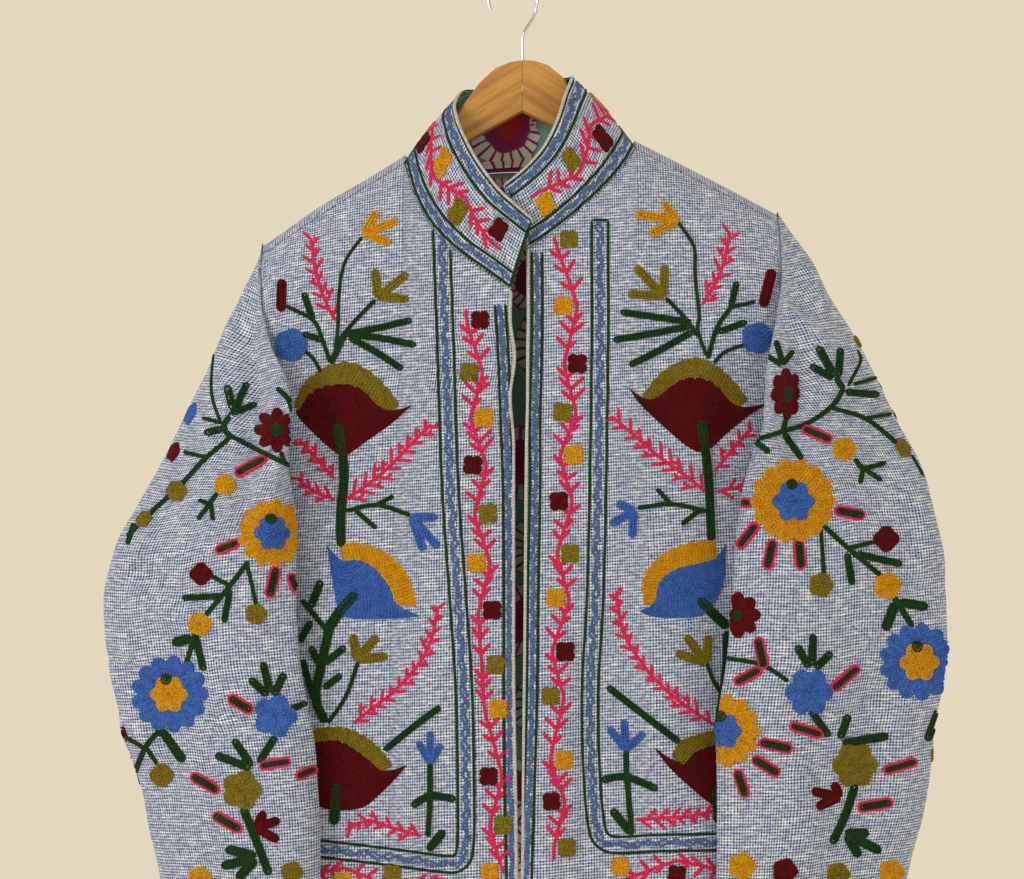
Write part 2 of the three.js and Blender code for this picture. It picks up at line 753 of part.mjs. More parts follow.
function hook() {
  const path = hookPath();
  const points = [];
  path.forEach((p, i) => {
    const before = path[Math.max(i - 1, 0)];
    const after = path[Math.min(i + 1, path.length - 1)];
    const along = after.clone().sub(before).normalize();
    const across = new THREE.Vector3(-along.z, 0, along.x);
    for (let k = 0; k < WIRE_SIDES; k += 1) {
      const angle = (TAU * k) / WIRE_SIDES;
      const point = p.clone().addScaledVector(across, WIRE_RADIUS * Math.cos(angle));
      point.y += WIRE_RADIUS * Math.sin(angle);
      points.push(point);
    }
  });
  const faces = [];
  for (let i = 0; i < path.length - 1; i += 1) {
    for (let k = 0; k < WIRE_SIDES; k += 1) {
      const next = (k + 1) % WIRE_SIDES;
      const here = i * WIRE_SIDES;
      quad(faces, here + k, here + next, here + WIRE_SIDES + next, here + WIRE_SIDES + k);
    }
  }
  const last = (path.length - 1) * WIRE_SIDES;
  for (let k = 1; k < WIRE_SIDES - 1; k += 1) {
    faces.push([0, k + 1, k], [last, last + k, last + k + 1]);
  }
  return closedGeometry(points, faces);
}

function material(color, roughness, metalness) {
  return new THREE.MeshStandardMaterial({ color, roughness, metalness });
}

function named(name, geometry, look) {
  const mesh = new THREE.Mesh(geometry, look);
  mesh.name = name;
  return mesh;
}

const cloth = () => material(COLORS.cloth, CLOTH_ROUGHNESS, 0);
const lining = () => material(COLORS.lining, LINING_ROUGHNESS, 0);
const wood = () => material(COLORS.wood, WOOD_ROUGHNESS, 0);

const wasm = await Module();
wasm.setup();

const part = new THREE.Group();
part.name = "suzani_jacket";
part.add(
  named("front_left", frontPanel("left"), cloth()),
  named("front_right", frontPanel("right"), cloth()),
  named("back", backPanel(), cloth()),
  named("sleeve_left", sleevePanel("left"), cloth()),
  named("sleeve_right", sleevePanel("right"), cloth()),
  named("collar", collar(), cloth()),
  named("collar_facing", collarFacing(), lining()),
  named("lining_back", backLining(), lining()),
  named("hanger_left", woodHalf(wasm, -1), wood()),
  named("hanger_right", woodHalf(wasm, 1), wood()),
  named("hanger_hook", hook(), material(COLORS.wire, WIRE_ROUGHNESS, 1)),
);

export default part;
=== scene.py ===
"""Visual model of the embroidered jacket on its wooden hanger.

Lengths in the tables are millimetres. Places on the jacket's front are given as the photo shows
them, in pixels of the 1024 x 879 picture, and PIXEL turns them into real sizes.
"""

import math
import random

import bmesh
import bpy
import numpy as np
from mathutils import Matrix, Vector
from mathutils.bvhtree import BVHTree


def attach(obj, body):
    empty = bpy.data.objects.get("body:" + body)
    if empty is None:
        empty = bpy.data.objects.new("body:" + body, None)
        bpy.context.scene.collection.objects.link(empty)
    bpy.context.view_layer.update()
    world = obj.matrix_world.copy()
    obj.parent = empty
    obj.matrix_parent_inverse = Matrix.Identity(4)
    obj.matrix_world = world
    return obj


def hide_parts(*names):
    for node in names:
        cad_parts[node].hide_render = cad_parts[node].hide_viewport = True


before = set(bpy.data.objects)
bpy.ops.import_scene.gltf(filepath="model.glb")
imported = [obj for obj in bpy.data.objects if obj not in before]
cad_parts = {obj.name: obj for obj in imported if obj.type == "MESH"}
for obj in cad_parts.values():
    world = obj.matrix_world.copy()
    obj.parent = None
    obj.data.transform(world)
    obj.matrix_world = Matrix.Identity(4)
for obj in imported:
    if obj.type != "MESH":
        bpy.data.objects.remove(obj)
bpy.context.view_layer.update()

MM = 0.001
TINY = 1e-9

# The photo's scale, and the pixel that lies on the hook's seat
PIXEL = 0.9
ORIGIN_COLUMN = 513
ORIGIN_ROW = -32

# Cloth and seams
WALL = 2.0
LINING_WALL = 1.0
LINING_GAP = 2.5
SEAM = 0.3
ARMHOLE_SEAM = 1.0

# How the whole jacket hangs
LEAN = 0.06
HANG_OFFSET = 6.3

# Body
HEM_Z = -860.0
NECK_X = 105.0
NECK_Z = -157.0
NECK_RISE = 7.0
SHOULDER_SLOPE = 0.58
SHOULDER_X = 235.0
SHOULDER_SEAM_DROP = 9.0
RIDGE_HEIGHT = 120.0
ARMHOLE_DEPTH = 40.0
ARMHOLE_MIDDLE_Z = -349.5
UNDERARM_Z = -469.5
FRONT_DEPTH = 60.0
BACK_DEPTH = 46.0
PROFILE_POWER = 2.2
LAP = 8.0
LAP_REACH = 70.0
LAP_X = -7.0
LAP_Z = -291.0
HEM_WAVE = 4.0
HEM_WAVE_RISE = 420.0
HEM_WAVE_LENGTH = 150.0
FIRST_COLUMN = 7.0
ROW_POWER = 1.25

# Creases and slow waves of the cloth
CREASE_STRENGTH = 2.2
CREASE_RUN_ON = 0.2
CREASE_WOBBLE = 0.35
NOISE_SCALE = 170.0
NOISE_LIFT = 2.4
NOISE_WAVES = 7
CLOTH_SEED = 11

# How finely the cloths are laid out: columns and rows, and the rows over which creases fade
FRONT_STOPS = [7, 105, 235]
BACK_STOPS = [0, 92, 101, 105, 235]
LINING_STOPS = [0, 212]
COLUMN_STEP = 2.8
LINING_STEP = 3.64
PANEL_ROWS = 140
LINING_ROWS = 100
RIM_ROWS = 6
RIM_COLUMNS = 4
SLEEVE_AROUND = 104
CAP_ROWS_FINE = 44
SLEEVE_ROWS = 74
SLEEVE_FADE_ROWS = 10
SLEEVE_BACK_CREASE = 0.4
ALLOWANCE_ROWS = 8
COLLAR_STEPS = 8
COLLAR_ROWS = 22
FACING_MARGIN = 0.05

# Half width of the body by height: z, half width
SIDE_ROWS = np.array([
    (-900, 270), (-700, 266), (-560, 260), (-469.5, 254), (-400, 246), (-330, 239), (-229.5, 235),
    (-100, 235),
])

# Front edges by height: z, distance of the left edge and of the right one from the middle line
FRONT_EDGE_ROWS = np.array([
    (-900, 3, 2), (-800, 3.5, 2.5), (-600, 6, 4.5), (-430, 6, 6), (-385, 9, 7), (-350, 5, 7),
    (-315, 9, 7.5), (-250, 7, 7), (-100, 7, 7),
])

# Front neckline: distance from the middle line, height on the left and on the right
NECKLINE_ROWS = np.array([
    (7, -291, -254), (30, -273, -240), (55, -254, -221), (80, -228, -199), (96, -197, -181),
    (105, -166, -166),
])

# Back neckline: distance from the middle line, way over the shoulder ridge
BACK_TOP_ROWS = np.array([(0, 82), (50, 76), (75, 60), (92, 34), (101, 0), (105, -46)])
LINING_TOP_ROWS = np.array([(0, 86), (50, 80), (75, 66), (101, 60), (132, 48), (235, 48)])
LINING_HEM_STEP = 18.0

# Collar's top edge by column, from the left end round the back to the right end: column, x, y, z
COLLAR_TOP_ROWS = np.array([
    (0, 11, -67, -229), (1, -4, -67, -215), (2, -18, -65, -201), (3, -42, -54, -166), (4, -58, -38, -130),
    (5, -60, -18, -118), (6, -58, -2, -109), (8, -48, 16, -100), (11, 0, 28, -104), (14, 42, 16, -94),
    (16, 49, -2, -94), (17, 48, -16, -98), (18, 42, -30, -113), (19, 34, -44, -138), (20, 22, -50, -162),
    (21, 6, -52, -180), (22, -15, -52, -196),
])
COLLAR_BULGE = 3.0
COLLAR_SEAM = 0.6
COLLAR_COLUMNS = np.array([7, 30, 55, 80, 96, 105])
COLLAR_BACK_COLUMNS = np.array([101, 92, 75, 50, 25])

# Sleeves: z, distance of the outer and of the inner edge from the middle line
LEFT_SLEEVE_ROWS = np.array([
    (-890, 318, 179), (-800, 328, 179), (-762, 337, 179), (-727, 343, 181), (-692, 353, 183),
    (-646, 366, 191), (-599, 376, 198), (-548, 379, 200), (-514, 372, 200), (-471, 350, 200),
    (-431, 325, 201),
])
RIGHT_SLEEVE_ROWS = np.array([
    (-890, 344, 175), (-826, 356, 175), (-785, 367, 175), (-754, 373, 175), (-706, 378, 175),
    (-671, 385, 178), (-634, 389, 184), (-574, 387, 189), (-526, 380, 193), (-471, 363, 203),
    (-431, 346, 211),
])
SLEEVES = {
    "left": dict(side=-1, top=-505, cuff=-837, shoulder=30, fold=-270, rows=LEFT_SLEEVE_ROWS),
    "right": dict(side=1, top=-515, cuff=-867, shoulder=120, fold=-180, rows=RIGHT_SLEEVE_ROWS),
}
SLEEVE_HALF_DEPTH = 29.0
CUFF_HALF_DEPTH = 24.0
SLEEVE_OUTER_Y = -20.0
SLEEVE_TILT = 0.25
SLEEVE_CLEAR = 5.0
CAP_REACH = 240.0

# Turn round the armhole and the turn round the hanging sleeve that it runs to, in degrees
TURN_ROWS = np.array([(0, 0), (90, 100), (135, 178), (180, 248), (270, 308), (360, 360)])

# How the sleeve leaves the armhole: turn, shares of shoulder and fold, and its own y and z
CAP_ROWS = np.array([
    (0, 1, 0, 0, -200), (45, 0.4, 0.25, -150, -170), (90, 0, 1, -270, -90), (135, 0, 0.35, -250, -20),
    (160, 0.5, 0, -240, 0), (180, 1.2, 0, -90, -50), (225, 1, 0, 60, -60), (270, 1.3, 0, 70, -120),
    (315, 1.3, 0, 40, -180), (360, 1, 0, 0, -200),
])

# Creases of the hanging cloth: ends in photo pixels, width and depth in millimetres.
# A positive depth stands forward of the cloth, a negative one lies back.
FRONT_CREASES = [
    ((300, 262), (352, 420), 16, 2.6), ((322, 250), (330, 560), 20, -2.2),
    ((405, 215), (432, 470), 22, 2.0), ((432, 640), (405, 872), 26, 3.0),
    ((372, 560), (352, 872), 24, -3.0), ((632, 190), (606, 520), 24, 2.2),
    ((742, 250), (700, 430), 18, 2.4), ((724, 300), (716, 700), 22, -2.0),
    ((650, 560), (668, 872), 26, 3.0), ((604, 640), (586, 872), 20, -2.4),
    ((470, 500), (462, 900), 26, 1.8), ((560, 420), (548, 900), 24, 1.6),
]
SLEEVE_CREASES = [
    ((250, 285), (190, 470), 16, 3.2), ((268, 300), (236, 560), 14, -3.0),
    ((282, 360), (262, 560), 12, 2.4), ((208, 400), (150, 560), 18, -2.6),
    ((150, 520), (118, 580), 12, 3.4), ((128, 570), (196, 598), 12, -3.0),
    ((132, 600), (214, 628), 14, 2.4), ((230, 620), (206, 850), 22, 2.8),
    ((272, 640), (262, 872), 16, -2.4), ((160, 640), (176, 830), 20, -2.4),
    ((796, 230), (858, 400), 16, 3.2), ((790, 262), (800, 520), 16, -2.8),
    ((828, 300), (872, 470), 16, -2.4), ((766, 380), (752, 560), 12, 2.6),
    ((905, 452), (934, 560), 14, 3.0), ((884, 560), (930, 600), 14, -2.8),
    ((800, 560), (812, 860), 24, 2.8), ((748, 600), (742, 872), 16, -2.4),
    ((872, 640), (860, 872), 22, -2.6), ((910, 700), (892, 860), 16, 2.4),
    ((262, 262), (232, 330), 9, 3.0), ((240, 300), (262, 420), 8, -2.6), ((222, 340), (246, 470), 8, 2.4),
    ((268, 440), (222, 476), 10, -2.4), ((284, 520), (226, 560), 11, 2.6),
    ((108, 660), (158, 700), 11, -2.6), ((112, 730), (190, 760), 12, 2.4),
    ((280, 700), (214, 740), 12, -2.4), ((778, 300), (826, 350), 9, 2.8),
    ((812, 330), (786, 440), 9, -2.6), ((760, 450), (828, 490), 11, 2.4),
    ((846, 500), (900, 520), 10, -2.6), ((772, 640), (842, 680), 12, 2.6),
    ((926, 660), (856, 710), 12, -2.6), ((770, 760), (838, 790), 12, -2.2),
]
BACK_CREASES = [
    ((330, 240), (372, 560), 26, 3.0), ((700, 230), (664, 520), 26, 2.6),
    ((512, 230), (506, 620), 34, -2.4), ((420, 420), (402, 900), 30, 3.2),
    ((600, 460), (622, 900), 30, 3.0), ((470, 600), (462, 920), 24, -2.6),
    ((680, 560), (690, 900), 22, -2.4), ((330, 560), (318, 900), 24, -2.6),
    ((540, 640), (548, 920), 22, 2.2),
]

# Weave: spacing of its threads and length of a chain stitch, in metres
THREAD = 0.0027
CHAIN_LENGTH = 0.0032
CLOTH_GLOSS = 0.15
THREAD_GLOSS = 0.12

# Hopsack: how far its noises stretch, in turns a metre along u and v
STREAK_SCALE = (120, 370)
SLUB_SCALE = (55, 365)
WARP_SCALE = (370, 60)
UNEVEN_SCALE = (330, 330)

# Hopsack: where each feature begins and where it is full
HOLE_BY_WARP = (0.14, 0.27)
HOLE_BY_WEFT = (0.13, 0.27)
STREAK_RANGE = (0.38, 0.62)
SLUB_RANGE = (0.50, 0.64)
WARP_RANGE = (0.16, 0.36)
WARP_STREAK_RANGE = (0.30, 0.66)
WEFT_GAP_RANGE = (0.20, 0.40)
UNEVEN_RANGE = (0.36, 0.56)

WEFT_BLUE = (0.36, 0.43, 0.62)
WEFT_PALE = (0.62, 0.70, 0.88)
WEFT_WHITE = (0.88, 0.92, 1.0)
WARP_BLUE = (0.13, 0.18, 0.36)
# Painted shade: the colour that the weave's holes and the gaps between weft threads darken towards
HOLE_SHADE = (0.010, 0.016, 0.055)

# Wool: where the painted shade between stitches, the fuzz and the slow tone begin and where they are full
LINK_RANGE = (0.28, 0.5)
FUZZ_RANGE = (0.44, 0.60)
TONE_RANGE = (0.4, 0.7)

# Lining print: its cells, and how far out from a flower's middle each part lies
PRINT_CELLS = 12.5
PRINT_BEND = (0.03, 0.03, 0)
PRINT_RAYS = 3.5
PRINT_HEART = (0.13, 0.16)
PRINT_RING_FROM = (0.27, 0.30)
PRINT_RING_TO = (0.42, 0.44)
PRINT_PETAL_END = (0.43, 0.46)
PRINT_RAY_RANGE = (0.22, 0.34)
PRINT_PLUM_FROM = (0.45, 0.55)
PRINT_GREEN_FROM = (0.72, 0.76)
PRINT_TEAL = (0.22, 0.42, 0.41)
PRINT_MAGENTA = (0.42, 0.02, 0.23)
PRINT_PLUM = (0.24, 0.010, 0.13)
PRINT_RED = (0.42, 0.01, 0.02)
PRINT_GREEN = (0.045, 0.15, 0.02)
PRINT_WHITE = (0.70, 0.72, 0.68)

# Hanger
WOOD_PALE = (0.56, 0.28, 0.05)
WOOD_DARK = (0.38, 0.15, 0.024)
WOOD_PORE = (0.26, 0.11, 0.03)
WOOD_SLOPE = 0.55
GRAIN_SCALE = (9, 60, 150)
PORE_SCALE = (40, 400, 900)
GRAIN_RANGE = (0.35, 0.68)
PORE_RANGE = (0.55, 0.75)
STEEL = (0.36, 0.36, 0.35)
SCRATCH_SCALE = (900, 900, 60)

# Room: colours, camera, floor and lights
ROOM_COLOR = (0.77, 0.68, 0.515, 1)
FLOOR_TONES = [(0.78, 0.74, 0.66), (0.82, 0.78, 0.71)]
FLOOR_SIZE = (3400.0, 2600.0)
FLOOR_Z = -1250.0
VIEW_X = -0.0009
VIEW_Z = -0.42435
VIEW_WIDTH = 0.9216
VIEW_DISTANCE = 2.6
VIEW_PLANE_Y = -0.05
SENSOR = 36.0
# Name, place, what it points at, size, power, colour
LIGHTS = [
    ("key", (-1.9, -1.9, 0.2), (0, 0, -0.5), 1.0, 27, (0.97, 0.98, 1)),
    ("fill", (1.8, -1.8, -0.5), (0, 0, -0.5), 1.8, 10, (0.92, 0.96, 1)),
    ("back", (0.6, 2.2, 0.8), (0, 0, -0.45), 1.8, 16, (0.96, 0.98, 1)),
]

# Rows of chain stitch
STITCH_STEP = 2.6
LONGEST_STEP = 10.4
ROW_PITCH = 2.25
ROW_WIDTH = 2.6
LINE_WIDTH = 2.9
ROW_HEIGHT = 1.05
ROW_SINK = 0.35
ROW_OVERLAP = 1.2
END_TAPER = 0.45
BEHIND_Y = 600.0
WRAP_BELOW = 0.75
EYE = np.array([VIEW_X, VIEW_PLANE_Y - VIEW_DISTANCE, VIEW_Z]) / MM
PITCH_PX = ROW_PITCH / PIXEL
STEP_PX = STITCH_STEP / PIXEL

# A row's cross-section: share of its width, share of its height
ROW_PROFILE = np.array([(-0.5, -1.0), (-0.27, 1.0), (0.27, 1.0), (0.5, -1.0)])

# Rods and round flowers
ROD_LIFT = 0.8
ROD_CORE_DROP = 0.15
FLOWER_LIFT = 1.1
HEART_LIFT = 1.7
HEART_LOBES = 6
HEART_DEPTH = 0.28
DOT_LIFT = 2.3
DOT_RADIUS = 6.0
CENTRE_STITCH = np.array([(-0.9, 0), (0, 0.4), (0.9, 0)])

# Fans: bumps of each edge by count and height, and how far the body stands over the rim
RIM_BUMPS = (11, 2.0)
BODY_BUMPS = (10, 2.6)
BODY_LIFT = 0.35

# Corals and vines: widths of their rows, and ranges that the random draws use
STEM_WIDTH = 1.4 * ROW_WIDTH
TWIG_WIDTH = 1.35 * ROW_WIDTH
FORK_WIDTH = 1.25 * ROW_WIDTH
LEAF_WIDTH = 1.6 * ROW_WIDTH
TWIG_GAPS = (5.0, 7.5)
TWIG_LENGTHS = (1.15, 1.6)
TWIG_SPREAD = (0.6, 0.85)
FORKED = 0.45
LEAF_LENGTHS = (13, 18)
LEAF_SPREAD = (0.55, 0.8)
LEAF_PLACES = (0.28, 0.52, 0.76)
LEAF_MARGIN = 3
STEM_WAVE = 0.42
VINE_FLOWER_OFF = 0.36
VINE_FLOWER_RADII = (10.2, 11.4)
VINE_FLOWER_TURNS = (1.3, 1.85)
VINE_FLOWER_DEPTH = 0.42

# Edgings: the two waves by phase and share of the edging's half width
WAVES = [(0.0, 0.38), (2.2, 0.26)]
WAVE_STEP = 2.0
WAVE_LENGTH = 27.0
WAVE_WIDTH = 3.0
WAVE_JITTER = 1.3
WAVE_LIFT = -0.1

# Half widths and places of the edgings and vines, in photo pixels
OUTER_BAND_HALF = 8.2
EDGE_BAND_HALF = 5.2
VINE_HALF = 18.0
HEM_BAND_RISE = 10.0
HEM_STEPS = (12, 40, 80, 140, 200, 270)
COLLAR_HEIGHT_PX = 60.0
COLLAR_BAND_ROWS = (-8.0, -53.5)
COLLAR_BAND_HALF = 5.4
COLLAR_VINE_HALF = 16.0
COLLAR_END_GAP = 2
COLLAR_EDGE = 1.5
EDGE_ROLL = 3.2
EDGE_ROLL_LIFT = 0.3

# Motifs of the fronts are on the back too, this much further out
BACK_MOTIFS_OUT = 40

BACK_BORDER_RISES = (
    HEM_BAND_RISE,
    HEM_BAND_RISE + 2 * VINE_HALF + 18,
    HEM_BAND_RISE + VINE_HALF + 7,
)

# Thread colours: full tone, and the darker tone for the painted shade between links, the fuzz and the slow
# tone; linear
THREAD_COLORS = {
    "green": ((0.016, 0.060, 0.014), (0.003, 0.014, 0.004)),
    "pink": ((0.78, 0.03, 0.13), (0.40, 0.010, 0.06)),
    "wine": ((0.125, 0.0025, 0.006), (0.032, 0.0008, 0.002)),
    "gold": ((0.74, 0.36, 0.010), (0.33, 0.12, 0.004)),
    "olive": ((0.26, 0.195, 0.014), (0.075, 0.050, 0.004)),
    "blue": ((0.062, 0.175, 0.60), (0.016, 0.046, 0.23)),
    "denim": ((0.12, 0.19, 0.42), (0.040, 0.065, 0.17)),
    "ecru": ((0.66, 0.66, 0.62), (0.30, 0.31, 0.31)),
}

# Motifs in photo pixels, the left front's first. Rods: half width, points along it, and the
# colours where they aren't green.
LEFT_RODS = [
    (1.7, [(362, 237), (345, 262), (339, 293), (338, 326), (335, 349)]),
    (2.0, [(375, 300), (353, 323), (340, 339)]),
    (3.4, [(345, 334), (378, 328), (411, 320)]),
    (3.4, [(348, 335), (380, 338), (415, 345)]),
    (3.4, [(350, 338), (376, 352), (402, 369)]),
    (3.0, [(345, 334), (331, 363)]),
    (2.0, [(286, 306), (313, 320), (322, 339), (330, 362)]),
    (3.3, [(304, 293), (313, 320)]),
    (3.2, [(303, 334), (322, 340)]),
    (1.9, [(301, 349), (312, 357), (321, 372)]),
    (5.0, [(282, 280), (281, 311)], "wine"),
    (4.6, [(343, 453), (344, 480), (341, 515), (341, 546)]),
    (5.4, [(338, 424), (342, 452)]),
    (2.2, [(346, 511), (377, 505), (410, 515)]),
    (2.2, [(377, 505), (393, 496)]),
    (2.4, [(356, 511), (376, 528)]),
    (5.2, [(356, 593), (341, 610), (326, 632)]),
    (4.6, [(330, 626), (320, 671), (316, 699), (325, 722)]),
    (2.6, [(302, 600), (329, 633)]),
    (4.0, [(321, 581), (311, 607)]),
    (3.6, [(311, 622), (300, 641)]),
    (3.6, [(311, 647), (319, 664)]),
    (3.6, [(345, 647), (325, 663)]),
    (3.4, [(341, 675), (324, 688)]),
    (3.2, [(303, 660), (312, 692), (322, 716)]),
    (2.0, [(358, 662), (346, 696), (328, 723)]),
    (5.0, [(336, 784), (334, 824)]),
    (3.3, [(385, 750), (412, 728), (440, 707)]),
    (2.8, [(430, 764), (430, 796), (428, 836)]),
    (3.8, [(412, 806), (430, 796), (455, 799)]),
    (4.4, [(444, 831), (428, 850)]),
]

# Tulips: colour, half width of a petal, foot, petal tips
LEFT_TULIPS = [
    ("gold", 4.3, (364, 234), [(377, 212), (397, 221), (390, 243)]),
    ("olive", 4.3, (378, 297), [(375, 270), (407, 274), (408, 299)]),
    ("blue", 4.2, (412, 517), [(436, 517), (438, 547), (423, 550)]),
    ("olive", 4.5, (357, 660), [(353, 635), (377, 636), (387, 656)]),
    ("blue", 3.6, (430, 763), [(418, 742), (430, 732), (441, 745)]),
]

# Corals: length of their twigs, points along the stem
LEFT_CORALS = [
    (11, [(335, 321), (322, 293), (315, 267), (311, 238)]),
    (12, [(344, 501), (371, 482), (390, 466), (409, 446), (431, 424)]),
    (10, [(335, 479), (317, 459), (300, 440)]),
    (10, [(335, 500), (310, 489), (297, 477)]),
    (10, [(353, 724), (371, 709), (389, 696), (409, 676), (424, 656), (433, 633), (438, 606)]),
    (10, [(422, 836), (396, 829), (368, 821), (345, 830)]),
]

# Fans: body colour, rim colour, outer edge of the rim, its inner edge, and the body's lower edge
LEFT_FANS = [
    (
        ("wine", "olive"),
        [(294, 408), (301, 388), (317, 372), (333, 364), (353, 363), (373, 374), (389, 390), (400, 406)],
        [(300, 410), (308, 396), (320, 388), (333, 385), (349, 385), (363, 391), (374, 402), (386, 415)],
        [(296, 410), (300, 419), (318, 437), (338, 454), (347, 455), (368, 440), (391, 424), (412, 405)],
    ),
    (
        ("blue", "gold"),
        [(339, 547), (353, 543), (381, 550), (401, 566), (413, 589), (416, 607)],
        [(342, 564), (356, 560), (374, 568), (386, 582), (392, 593), (394, 606)],
        [(327, 545), (332, 578), (338, 610), (342, 616), (358, 619), (382, 619), (404, 618), (421, 616)],
    ),
    (
        ("wine", "olive"),
        [(306, 732), (317, 729), (338, 727), (361, 734), (381, 750), (393, 766)],
        [(308, 744), (320, 742), (338, 741), (355, 750), (371, 762), (383, 774)],
        [(300, 745), (304, 780), (317, 804), (335, 810), (361, 808), (379, 795), (396, 778), (407, 765)],
    ),
]
RIGHT_RODS = [
    (1.7, [(678, 222), (694, 247), (695, 274), (699, 314), (698, 331), (707, 357)]),
    (2.0, [(666, 298), (685, 318), (698, 336)]),
    (3.4, [(621, 312), (655, 317), (690, 322)]),
    (3.4, [(614, 340), (650, 334), (690, 326)]),
    (3.4, [(630, 365), (660, 350), (692, 332)]),
    (2.3, [(708, 358), (717, 328), (731, 307)]),
    (2.0, [(731, 307), (755, 302)]),
    (3.3, [(737, 282), (731, 306)]),
    (3.3, [(746, 322), (719, 332)]),
    (1.9, [(714, 363), (725, 352), (746, 344)]),
    (5.4, [(772, 270), (763, 306)], "wine"),
    (4.4, [(705, 446), (708, 475), (710, 510), (711, 540)]),
    (5.2, [(701, 421), (704, 446)]),
    (2.2, [(706, 511), (671, 504), (638, 508)]),
    (2.2, [(671, 504), (657, 489)]),
    (2.4, [(700, 510), (682, 524)]),
    (5.0, [(698, 599), (727, 627)]),
    (4.4, [(727, 632), (726, 670), (722, 700), (718, 730)]),
    (3.6, [(742, 648), (727, 666)]),
    (3.6, [(744, 676), (727, 692)]),
    (2.0, [(707, 664), (713, 680), (720, 692)]),
    (3.5, [(608, 687), (640, 712), (679, 742)]),
    (2.8, [(626, 751), (627, 779), (632, 834)]),
    (3.8, [(602, 780), (626, 777), (657, 789)]),
    (4.2, [(612, 810), (631, 833)]),
    (4.8, [(716, 786), (718, 822)]),
]
RIGHT_TULIPS = [
    ("gold", 4.3, (677, 221), [(663, 203), (637, 214), (650, 234)]),
    ("olive", 4.3, (663, 296), [(665, 266), (636, 267), (629, 294)]),
    ("blue", 4.2, (634, 511), [(618, 503), (611, 524), (632, 537)]),
    ("olive", 4.4, (706, 663), [(686, 636), (708, 636), (676, 653)]),
    ("blue", 3.8, (626, 750), [(609, 728), (624, 720), (644, 733)]),
]
RIGHT_CORALS = [
    (11, [(702, 305), (717, 280), (725, 258), (730, 231)]),
    (12, [(706, 492), (682, 473), (658, 456), (634, 435), (611, 416)]),
    (10, [(714, 472), (733, 448), (752, 427)]),
    (10, [(716, 492), (746, 484), (760, 470)]),
    (10, [(714, 725), (690, 709), (666, 690), (644, 666), (623, 631), (616, 591)]),
    (10, [(636, 820), (660, 818), (690, 816), (714, 811)]),
]
RIGHT_FANS = [
    (
        ("wine", "olive"),
        [(642, 397), (658, 376), (677, 363), (698, 358), (719, 368), (736, 384), (748, 401)],
        [(650, 405), (668, 389), (685, 379), (703, 379), (717, 387), (728, 400), (736, 410)],
        [(629, 388), (640, 404), (662, 425), (690, 448), (706, 451), (726, 434), (748, 416), (766, 404)],
    ),
    (
        ("blue", "gold"),
        [(645, 606), (643, 580), (658, 558), (680, 546), (702, 541), (716, 542)],
        [(655, 605), (660, 582), (677, 569), (698, 564), (708, 561), (718, 558)],
        [(639, 611), (654, 617), (680, 618), (702, 615), (716, 600), (723, 584), (725, 564), (726, 543)],
    ),
    (
        ("wine", "olive"),
        [(671, 756), (682, 741), (703, 733), (716, 730), (735, 733), (748, 742)],
        [(681, 768), (696, 752), (714, 746), (728, 747), (740, 752), (746, 758)],
        [(655, 748), (668, 766), (690, 787), (712, 804), (728, 806), (742, 794), (752, 778), (758, 760)],
    ),
]
FRONT_MOTIFS = {
    "left": (LEFT_RODS, LEFT_TULIPS, LEFT_CORALS, LEFT_FANS),
    "right": (RIGHT_RODS, RIGHT_TULIPS, RIGHT_CORALS, RIGHT_FANS),
}
CORAL_SEEDS = {"left": 5, "right": 50}

# Flowers: a colour, or colours each with the share of the radius that it reaches in to; radius,
# lobes, their depth, centre
FRONT_FLOWERS = {
    "left": [("blue", 17, 5, 0.12, (291, 345))],
    "right": [("blue", 16, 5, 0.12, (757, 338))],
}
LEFT_SLEEVE_FLOWERS = [
    ("blue", 12, 5, 0.25, (191, 414)),
    ("wine", 10.5, 5, 0.25, (174, 452)),
    ("olive", 11, 6, 0.25, (177, 491)),
    ("olive", 10, 6, 0.25, (144, 519)),
    ([("wine", 0.3), ("green", 0)], 22.5, 8, 0.48, (277, 430)),
    ("gold", 11, 5, 0.22, (225, 485)),
    ([("gold", 0.52), ("blue", 0.17), ("green", 0)], 34, 13, 0.2, (272, 533)),
    ("wine", 11.5, 4, 0.25, (201, 574)),
    ("olive", 11, 5, 0.22, (256, 614)),
    ("gold", 12, 5, 0.2, (200, 624)),
    ([("blue", 0.5), ("gold", 0.1), ("green", 0)], 39, 13, 0.2, (170, 694)),
    ("olive", 12, 4, 0.16, (162, 775)),
    ("blue", 22, 5, 0.3, (275, 716)),
    ("olive", 20, 5, 0.24, (242, 790)),
]
